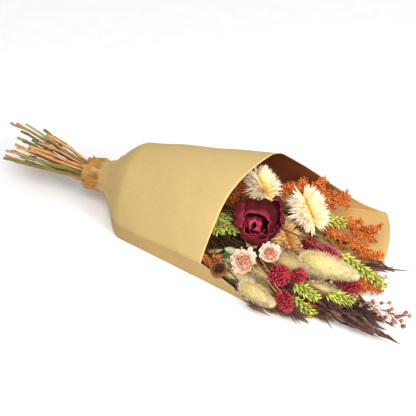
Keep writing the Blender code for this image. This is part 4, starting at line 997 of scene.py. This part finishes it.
def make_everlasting(number, place):
    """A hedgehog of narrow bracts that part along a crease."""
    head = Head(place).seat_on_stem(f"everlasting_stem_{number}")
    count = EVERLASTING_BRACTS[number - 1]
    reach = head.width * EVERLASTING_SPREADS[number - 1]
    crease = unit((EVERLASTING_CREASES[number - 1] @ head.axes.T) * (1, 1, 0))
    beside = np.cross(UP, crease)
    tier = draw.random(count) ** 0.8
    u = draw.uniform(-1, 1, count)
    side = np.where(np.arange(count) % 2, 1.0, -1.0)
    fan = u * lerp(1.5, 0.55, tier)
    rise = lerp(-0.12, 0.72, tier**1.15) + draw.normal(0, 0.09, count)
    flat = unit(crease * np.sin(fan)[:, None] + beside * (side * np.cos(fan))[:, None])
    ways = flat * np.cos(rise)[:, None] + UP * np.sin(rise)[:, None]
    low = UP * lerp(0.12, 0.36, tier)[:, None] * reach
    origins = crease * (u * 0.40 * reach)[:, None] + flat * (0.02 * reach) + low
    length = reach * lerp(0.98, 0.62, tier) * draw.uniform(0.76, 1.08, count)
    length = length * lerp(1.0, 0.72, abs(u) * (1 - tier))
    width = draw.uniform(2.3, 3.8, count) * reach / 28
    bend = draw.uniform(0.0, 0.24, count)
    pile = Pile()
    origins, ways = head.world(origins), ways @ head.axes
    pile.grids(blades(origins, ways, head.way, length, width, 8, 0.5, 0.22, bend, taper=1.15))
    pile.grids(head.core(0.2, reach * 0.36, reach * 0.3, 8, 12), True, along=0.05)
    skin, slot = (CREAM_BRACT, "cream") if number < 3 else (GOLD_BRACT, "ochre_stem")
    pile.make(f"everlasting_bloom_{number}", slot, [skin])
    stem_piece(f"everlasting_stem_{number}", head.base, "ochre_stem", 6)


def make_spray_roses():
    """Three small roses with frilled outer petals and a tight coral heart, on one forked stem."""
    stem = Pile()
    for number, place in enumerate(SPRAY_ROSES, 1):
        node = f"spray_rose_bloom_{number}"
        head = Head(place).seat_on_heart(node)
        fork = SPRAY_ROSE_FORK + (head.base - place[0])
        scale = head.width / 15
        pile = Pile()
        for k in range(SPRAY_PETALS):
            share = k / (SPRAY_PETALS - 1)
            rim = lerp(13.2, 2.6, share**0.8) * draw.uniform(0.88, 1.08)
            height = lerp(6.0, 13.4, share**0.55) * draw.uniform(0.9, 1.08)
            turn = k * GOLDEN_TURN + draw.uniform(-0.25, 0.25)
            seed = draw.uniform(0, 6.3)
            half, low, roll, ruffle = lerp(SPRAY_OUTER_PETAL, SPRAY_HEART_PETAL, share)
            grid = scale * petal_grid(turn, half, 1.2, rim, low, height, roll, 1.5, ruffle, seed, 21, 1.7)
            climb = np.linspace(0, 1, len(grid))[:, None, None]
            grid[..., :2] += np.array(SPRAY_HEART_SHIFT) * scale * share * climb
            grid = crumple(grid, 0.7 * scale, 4.5, 200 + 40 * number + k)
            pile.grids(head.world(grid), slot=0 if share < SPRAY_OUTER_SHARE else 1)
        pile.make(node, "pink", [PINK_PETAL, PINK_HEART], thickness=0.25)
        twig_tubes(stem, fork - (3, 0, 0), head.world((0, 0, -2.0)), 1.3, STEM_ORDER.index("olive"), 6)
        stem.grids(head.core(-4.5, 5, 2.4, 6, 8), True, OWN)
    dry_leaves(stem, add_stem(stem, "spray_rose_stem", fork, 3), LEAVES["stem"], OWN)
    stem.make_with_stem("spray_rose_stem", "olive_stem", GREEN_SEPAL)


def egg(head, count, radius, seed):
    """Evenly spread points on an egg-shaped head, with the way out and the share of its length."""
    pick = np.random.default_rng(seed)
    t = (np.arange(count) + 0.5) / count
    t = np.clip(t + pick.uniform(-0.5, 0.5, count) / count, 0.004, 0.996)
    turn = np.arange(count) * GOLDEN_TURN + pick.uniform(-0.2, 0.2, count)
    before, r, after = (radius * np.sin(math.pi * (t + step) ** 0.85) ** 0.6 for step in (-0.002, 0.0, 0.002))
    slope = (after - before) / (0.004 * head.length)
    out = stacked(np.cos(turn), np.sin(turn), -slope)
    return head.world(stacked(r * np.cos(turn), r * np.sin(turn), t * head.length)), unit(out) @ head.axes, t


def make_bunny_tail(number, place):
    """A soft core under thousands of hairs that lean to the tip."""
    head = Head(place).seat_on_stem(f"bunny_tail_stem_{number}")
    radius = head.width - 2.4
    count = int(head.length * head.width * FUR_DENSITY)
    pile = Pile()
    pile.grids(head.core(0.5, head.length - 3, radius * 0.93, 16, 18, 0.85), True, 1)
    origins, out, t = egg(head, count, radius * 0.9, number)
    lean = unit(out + head.way * lerp(*FUR_LEAN, t)[:, None] + draw.normal(0, 0.24, (count, 3)))
    length = draw.uniform(*FUR_LENGTHS, count)
    pile.grids(hairs(origins, lean, out, length, FUR_WIDTH, draw.uniform(-0.25, 0.1, count)))
    pile.make(f"bunny_tail_head_{number}", "straw_yellow", [FUR, FUR_CORE], inside=number < 3)
    stem_piece(f"bunny_tail_stem_{number}", head.base, "tan_stem")


def make_crimson(number, place):
    """A dense head of small florets, darker at their feet as painted shade, with paler tips that are partly
    their own colour and partly painted highlight, and a fringe of hairs.
    """
    head = Head(place).seat_on_stem(f"crimson_stem_{number}")
    radius = head.width - 2.2
    area = head.length * head.width
    pile = Pile()
    pile.grids(head.core(0.5, head.length - 2, radius * 0.95, 12, 14, 0.85), True, along=0.15)
    count = int(area)
    origins, out, t = egg(head, count, radius * 0.86, number + 20)
    lean = unit(out + head.way * lerp(0.1, 0.6, t)[:, None] + draw.normal(0, 0.16, (count, 3)))
    length = draw.uniform(*FLORET_LENGTHS, count)
    pile.grids(grains(origins, lean, out, length, draw.uniform(*FLORET_RADII, count), 6, 6, 1.35), True)
    origins, out, t = egg(head, int(area * FRINGE_DENSITIES[number - 1]), radius * 0.9, number + 40)
    keep = t < FRINGE_ENDS[number - 1]
    origins, out = origins[keep], out[keep]
    lean = unit(out + draw.normal(0, 0.25, out.shape))
    pile.grids(hairs(origins, lean, out, draw.uniform(4.5, 8.5, len(out)), 0.35), slot=1)
    pile.make(f"crimson_head_{number}", "crimson", [CRIMSON_SKIN, MAUVE_HAIR])
    stem_piece(f"crimson_stem_{number}", head.base, "tan_stem")


def add_ear(pile, ear):
    """Spikelets in two ranks of four grains each, with short awns."""
    count = max(7, round(ear.length / 3.7))
    k = np.arange(count)
    up = lerp(-1.0, ear.length - 9.0, k / (count - 1))
    side = np.where(k % 2, 1.0, -1.0)
    taper = lerp(1.0, 0.68, (k / (count - 1)) ** 2)
    for spread, lift, long in EAR_GRAINS:
        way = unit(stacked(side * 0.55, spread, 1.0) + draw.normal(0, 0.10, (count, 3)))
        start = stacked(side * 0.9, spread * 2.0, up + lift)
        size = taper * draw.uniform(0.85, 1.1, count)
        length, radius = 9.8 * long * size, ear.width * 0.27 * size
        starts, ways = ear.world(start), way @ ear.axes
        pile.grids(grains(starts, ways, ear.way, length, radius, 6, 7, 0.8, 0.8, -0.05), True, OWN)
        tips, ways = ear.world(start + way * (8.8 * long * size)[:, None]), (way + 0.4 * UP) @ ear.axes
        pile.grids(hairs(tips, ways, ear.side, draw.uniform(1.5, 4.5, count), 0.45), slot=OWN)
    twig_tubes(pile, ear.base, ear.world((0, 0, ear.length - 6)), 1.3, OWN, 6)


def make_wheat(number, place):
    """A lime ear on its stem. The first is a clump of three."""
    node = f"wheat_ear_{number}"
    head = Head(place)
    head.seat_on_tips(node, grain_tips(head.length))
    pile = Pile()
    dry_leaves(pile, add_stem(pile, node, head.base), LEAVES["stem"], OWN + 1)
    add_ear(pile, head)
    if number == 1:
        foot = head.world((0, 0, -1.5))
        for offset in SIDE_EARS:
            add_ear(pile, Head((foot, foot + offset, head.width)))
    pile.make_with_stem(node, "lime", LIME_GRAIN, DRY_LEAF)


def forked(node, place, leaves, leaf_slot, count, seed, share=1.0, **shape):
    """The start of a spray: its head, pile, stem line, and the ends of its main twig and side twigs."""
    head = Head(place)
    twigs = [((0, 0, 0), (0, 0, head.length))]
    twigs += side_twigs(head.length * share, head.width, count, seed, **shape)
    starts, stops = zip(*twigs)
    head.seat_on_tips(node, stops)
    pile = Pile()
    path = add_stem(pile, node, head.base)
    dry_leaves(pile, path, leaves, leaf_slot)
    return head, pile, path, head.world(starts), head.world(stops)


def make_orange(number, place):
    """A cloud of tiny florets on forked twigs."""
    node = f"orange_spray_{number}"
    head, pile, _, starts, stops = forked(
        node, place, LEAVES["orange"], OWN + 2, ORANGE_TWIGS, SEED + number,
    )
    twig_tubes(pile, starts, stops, 0.7, OWN + 1)
    back = ORANGE_BACK[number - 1]
    more = back // 5
    behind = stacked(0.0, 0.0, draw.uniform(-back, 0, more))
    starts = np.vstack((starts, head.world(behind)))
    behind += stacked(draw.normal(0, 9, more), draw.normal(0, 7, more), 12)
    stops = np.vstack((stops, head.world(behind)))
    if number == 6:
        starts = np.vstack((starts, RUST_TWIG[0]))
        stops = np.vstack((stops, RUST_TWIG[1]))
    share = draw.uniform(0.12, 1.0, (len(starts), ORANGE_FORKS, 1))
    origins = lerp(starts[:, None], stops[:, None], share).reshape(-1, 3)
    forward = np.repeat(unit(stops - starts), ORANGE_FORKS, axis=0)
    ways = unit(forward * 0.8 + draw.normal(0, 0.8, origins.shape))
    ends = origins + ways * draw.uniform(3.0, 8.0, (len(origins), 1))
    twig_tubes(pile, origins, ends, 0.32, OWN + 1, 3)
    ends, ways = (np.repeat(lines, ORANGE_FLORETS, axis=0) for lines in (ends, ways))
    count = len(ends)
    centres = ends - ways * draw.uniform(0, 5.0, (count, 1))
    out = unit(ways * 0.5 + draw.normal(0, 0.8, centres.shape))
    length, radius = draw.uniform(1.9, 3.3, count), draw.uniform(0.5, 0.85, count)
    # The first spray's florets are darkened as painted shade.
    chance = draw.random(count) * (FIRST_ORANGE_PAINTED_SHADE if number == 1 else 1.0)
    pile.grids(grains(centres, out, ways, length, radius, 4, 4, 1.1), True, OWN, chance=chance)
    pile.make_with_stem(node, "orange", ORANGE_FLORET, ORANGE_TWIG, DRY_LEAF)


def lip_spikes(pile):
    """Narrow dark spikes along the sleeve's lower lip."""
    count = LIP_SPIKE_COUNT
    starts, stops = np.array(LIP_SPIKES, float)[np.arange(count) % 2].swapaxes(0, 1)
    origins = lerp(starts, stops, draw.random((count, 1))) + draw.normal(0, 1.6, (count, 3))
    ways = unit(stacked(1.0, draw.uniform(-0.8, 0.1, count), draw.uniform(-0.28, 0.04, count)))
    guides = draw.normal(size=(count, 3))
    length, width = draw.uniform(12, 27, count), draw.uniform(1.0, 2.6, count)
    pile.grids(blades(origins, ways, guides, length, width, 6, 0.6, 0.4), slot=OWN)


def make_dark_oat(number, place):
    """Bundles of narrow dark chaff with long awns."""
    node = f"dark_oat_{number}"
    tufts, chaffs, slim, back = (table[number - 1] for table in (OAT_TUFTS, OAT_CHAFFS, OAT_SLIM, OAT_BACK))
    head, pile, _, starts, stops = forked(
        node, place, LEAVES["oat"], OWN + 1, OAT_TWIGS, SEED + 20 + number,
        share=0.7, first=0.05, forward=(1.8, 2.6),
    )
    twig_tubes(pile, starts, lerp(starts, stops, 0.9), 0.8, OWN)
    tips = lerp(starts[:, None], stops[:, None], np.linspace(0.12, 1, tufts)[:, None]).reshape(-1, 3)
    forward = np.repeat(unit(stops - starts), tufts, axis=0)
    more = int(back * 1.4)
    aside, above = draw.normal(0, 6.0, more), draw.normal(0, 2.5, more)
    behind = stacked(aside, above, draw.uniform(-back, 0.8 * head.length, more))
    tips = np.repeat(np.vstack((tips, head.world(behind))), chaffs, axis=0)
    forward = np.repeat(np.vstack((forward, np.tile(head.way, (more, 1)))), chaffs, axis=0)
    count = len(tips)
    ways = unit(forward + head.way * 0.5 + draw.normal(0, 0.20, (count, 3)))
    length = draw.uniform(15, 29, count)
    origins = tips - ways * length[:, None] * draw.uniform(0.75, 1.0, (count, 1))
    width = draw.uniform(3.0, 6.2, count) * slim
    pile.grids(blades(origins, ways, draw.normal(size=(count, 3)), length, width, 6, 0.6, 0.4), slot=OWN)
    keep = draw.random(count) < 0.35
    ends = (origins + ways * length[:, None] * 0.8)[keep]
    guides = draw.normal(size=ends.shape)
    pile.grids(hairs(ends, ways[keep], guides, draw.uniform(5, 12, len(ends)), 0.4), slot=OWN)
    if number == 2:
        lip_spikes(pile)
    pile.make_with_stem(node, "dark_brown", OAT_CHAFF, DRY_LEAF)


def tan_twigs(pile, path):
    """Thin pale twigs that fork off a stem and show between the heads."""
    for start, stop in np.array(TAN_TWIGS, float):
        fork = path[np.linalg.norm(path - start + TAN_FORK_BACK, axis=1).argmin()]
        line, _ = smooth_path((fork, start, lerp(start, stop, 0.5) + 1.5 * UP, stop), 3.0)
        body = tube(line, np.linspace(0.65, 0.35, len(line)), 6)
        pile.grids(body, True, STEM_ORDER.index("peach"), 0.2, 0.6)


def make_flax():
    """Round seed heads with a small point and a calyx, on wiry stalks."""
    _, pile, path, starts, stops = forked(
        "flax", FLAX, LEAVES["flax"], OWN + 1, FLAX_TWIGS, SEED + 40, first=0.3,
    )
    tan_twigs(pile, path)
    extra = lerp(starts, stops, draw.uniform(-0.25, 0.6, (len(starts), 1)))
    aside = unit(stops - starts + draw.normal(0, 14, extra.shape))
    ends = extra + aside * draw.uniform(8, 15, (len(extra), 1))
    loose = np.array(LOOSE_BALLS, float)
    sought = loose - LOOSE_FORK_BACK + draw.normal(0, 4, loose.shape)
    forks = path[np.linalg.norm(path - sought[:, None], axis=-1).argmin(axis=1)]
    starts = np.vstack((starts, extra, forks))
    stops = np.vstack((stops, ends, loose))
    ways = unit(stops - starts)
    twig_tubes(pile, starts, stops - ways * 4.5, 0.5, OWN, 5, 0.04)
    radius = draw.uniform(*BALL_RADII, len(ways))
    balls = grains(stops - ways * BALL_LENGTH, ways, starts - stops, BALL_LENGTH, radius, 8, 10, 0.95)
    pile.grids(balls, True, OWN)
    pile.grids(hairs(stops - ways * 0.7, ways, np.cross(ways, UP), 1.8, 0.6), slot=OWN)
    calyx = np.repeat(np.arange(len(ways)), 5)
    lean = unit(ways[calyx] + draw.normal(0, 0.5, (len(calyx), 3)))
    pile.grids(blades((stops - ways * 5.6)[calyx], lean, draw.normal(size=lean.shape), 3.4, 1.3, 4), slot=OWN)
    pile.make_with_stem("flax", "flax_brown", FLAX_BALL, DRY_LEAF)


def make_eucalyptus():
    """Oval leaves with a pale rib, smaller ones between them, and one pale leaf further on."""
    head = Head(EUCALYPTUS)
    twigs = side_twigs(head.length, head.width, EUCALYPTUS_TWIGS, SEED + 50)
    starts, stops = (np.array(ends, float) for ends in zip(*twigs))
    last = (head.length - 7) * UP
    tips = starts + unit(stops - starts) * (LEAF_LENGTH + 0.2)
    head.seat_on_tips("eucalyptus", np.vstack((tips, last + 15 * UP)))
    pile = Pile()
    add_stem(pile, "eucalyptus", head.base)
    twig_tubes(pile, head.base, head.world((0, 0, head.length - 4)), 1.0, OWN)
    ways = np.vstack((stops - starts, UP)) @ head.axes
    starts = head.world(np.vstack((starts, last)))
    facing = head.axes[1]
    pile.grids(blades(starts, ways, facing, LEAF_LENGTH, 10.5, 9, 0.75, -0.18, 0.08), slot=OWN)
    starts = head.base + draw.uniform(0.0, 0.9, (SMALL_LEAVES, 1)) * head.length * head.way
    turn = np.arange(SMALL_LEAVES) * 2.4
    ways = stacked(np.cos(turn), np.sin(turn), 0.9) @ head.axes
    length, width = draw.uniform(9, 15, SMALL_LEAVES), draw.uniform(4.5, 6.5, SMALL_LEAVES)
    pile.grids(blades(starts, ways, facing, length, width, 8, 0.75, -0.18, 0.1), slot=OWN)
    start, stop = np.array(PALE_LEAF, float)
    length = np.linalg.norm(stop - start)
    leaf = blades(start, stop - start, PALE_LEAF_FACES, length, 7.5, 12, 0.75, -0.15, 0.06)
    pile.grids(leaf, slot=OWN, along=np.linspace(0.6, 1, 12)[:, None], chance=0.65)
    pile.make_with_stem("eucalyptus", "grey_green", LEAF_SKIN)


def make_rosette():
    """A small cone of rolled scales with paler rims, each ring's scales lapping like tiles."""
    head = Head(ROSETTE)
    tips = []
    for count, tilt, start in SOLID_SCALES:
        turn = np.arange(count) * 2 * math.pi / count + start
        ways = stacked(np.cos(turn) * math.cos(tilt), np.sin(turn) * math.cos(tilt), math.sin(tilt))
        tips.extend(6 * UP + ways * SOLID_SCALE_LENGTH)
    head.seat_on_tips("cone_rosette", tips)
    pile = Pile()
    path = add_stem(pile, "cone_rosette", head.base, 6)
    lean = 0.35 * np.linspace(-1, 1, 13)[:, None] * UP
    for count, foot, rim, low, height, drop, start, roll in ROSETTE_RINGS:
        for k in range(count):
            seed = draw.uniform(0, 6.3)
            turn = start + 2 * math.pi * k / count + draw.uniform(-0.08, 0.08)
            grid = petal_grid(
                turn, 1.1 * math.pi / count, foot, rim * draw.uniform(0.94, 1.04), low,
                height * draw.uniform(0.94, 1.05), roll * draw.uniform(0.6, 1.3), drop, 0.3, seed,
            )
            pile.grids(head.world(grid + lean), slot=OWN)
    dry_leaves(pile, path, LEAVES["rosette"], OWN + 1)
    pile.make_with_stem("cone_rosette", "rust", RUST_SCALE, DRY_LEAF)


def dress_tie():
    """The tie keeps its solid and gets a fibrous skin."""
    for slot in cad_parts["tie"].material_slots:
        slot.material = TWINE_SKIN


def make_stage():
    """A pale table, soft lights and the sky."""
    mesh = bpy.data.meshes.new("table")
    corners = [(x * TABLE_REACH, y * TABLE_REACH, TABLE_Z) for x, y in ((-1, -1), (1, -1), (1, 1), (-1, 1))]
    mesh.from_pydata(corners, [], [(0, 1, 2, 3)])
    graph = Graph("table_paint")
    colour = graph.ramp(graph.noise(30), (0.3, 0.93), (0.7, 0.96))
    mesh.materials.append(graph.finish(colour, 0.9, 0.1))
    table = add_to_scene("table", mesh)
    world = bpy.data.worlds.new("studio")
    world.use_nodes = True
    world.node_tree.nodes["Background"].inputs["Color"].default_value = (1.0, 1.0, 1.0, 1)
    world.node_tree.nodes["Background"].inputs["Strength"].default_value = SKY_STRENGTH
    bpy.context.scene.world = world
    bpy.context.scene.view_settings.view_transform = "Standard"
    for name, (place, size, power) in LAMPS.items():
        light = bpy.data.lights.new(name, "AREA" if size else "SPOT")
        light.energy = power
        if size:
            light.size = size
        else:
            light.shadow_soft_size = SPOT_SOFTNESS
            light.spot_size = SPOT_SPREAD
            light.spot_blend = 1.0
        aim = np.array(place) - (LAMP_AIM if size else SPOT_AIM)
        add_to_scene(name, light, axes_along(aim), place)


def make_camera():
    """The camera stands off its target, at the photograph's turn and rise."""
    level = math.cos(CAMERA_RISE)
    back = np.array((math.sin(CAMERA_TURN) * level, -math.cos(CAMERA_TURN) * level, math.sin(CAMERA_RISE)))
    right = np.array((math.cos(CAMERA_TURN), math.sin(CAMERA_TURN), 0))
    data = bpy.data.cameras.new("camera")
    data.lens = CAMERA_LENS
    data.sensor_width = SENSOR
    data.sensor_fit = "HORIZONTAL"
    axes = np.array((right, np.cross(back, right), back))
    bpy.context.scene.camera = add_to_scene("camera", data, axes, CAMERA_TARGET + back * CAMERA_REACH)


def make_all(make, places):
    """Makes every numbered piece of one kind."""
    for number, place in enumerate(places, 1):
        make(number, place)


make_camera()
make_stage()
make_sleeve()
dress_tie()
make_rose()
make_all(make_everlasting, EVERLASTINGS)
make_spray_roses()
make_all(make_bunny_tail, BUNNY_TAILS)
make_all(make_crimson, CRIMSON_HEADS)
make_all(make_wheat, WHEAT_EARS)
make_all(make_orange, ORANGE_SPRAYS)
make_all(make_dark_oat, DARK_OATS)
make_flax()
make_eucalyptus()
make_rosette()
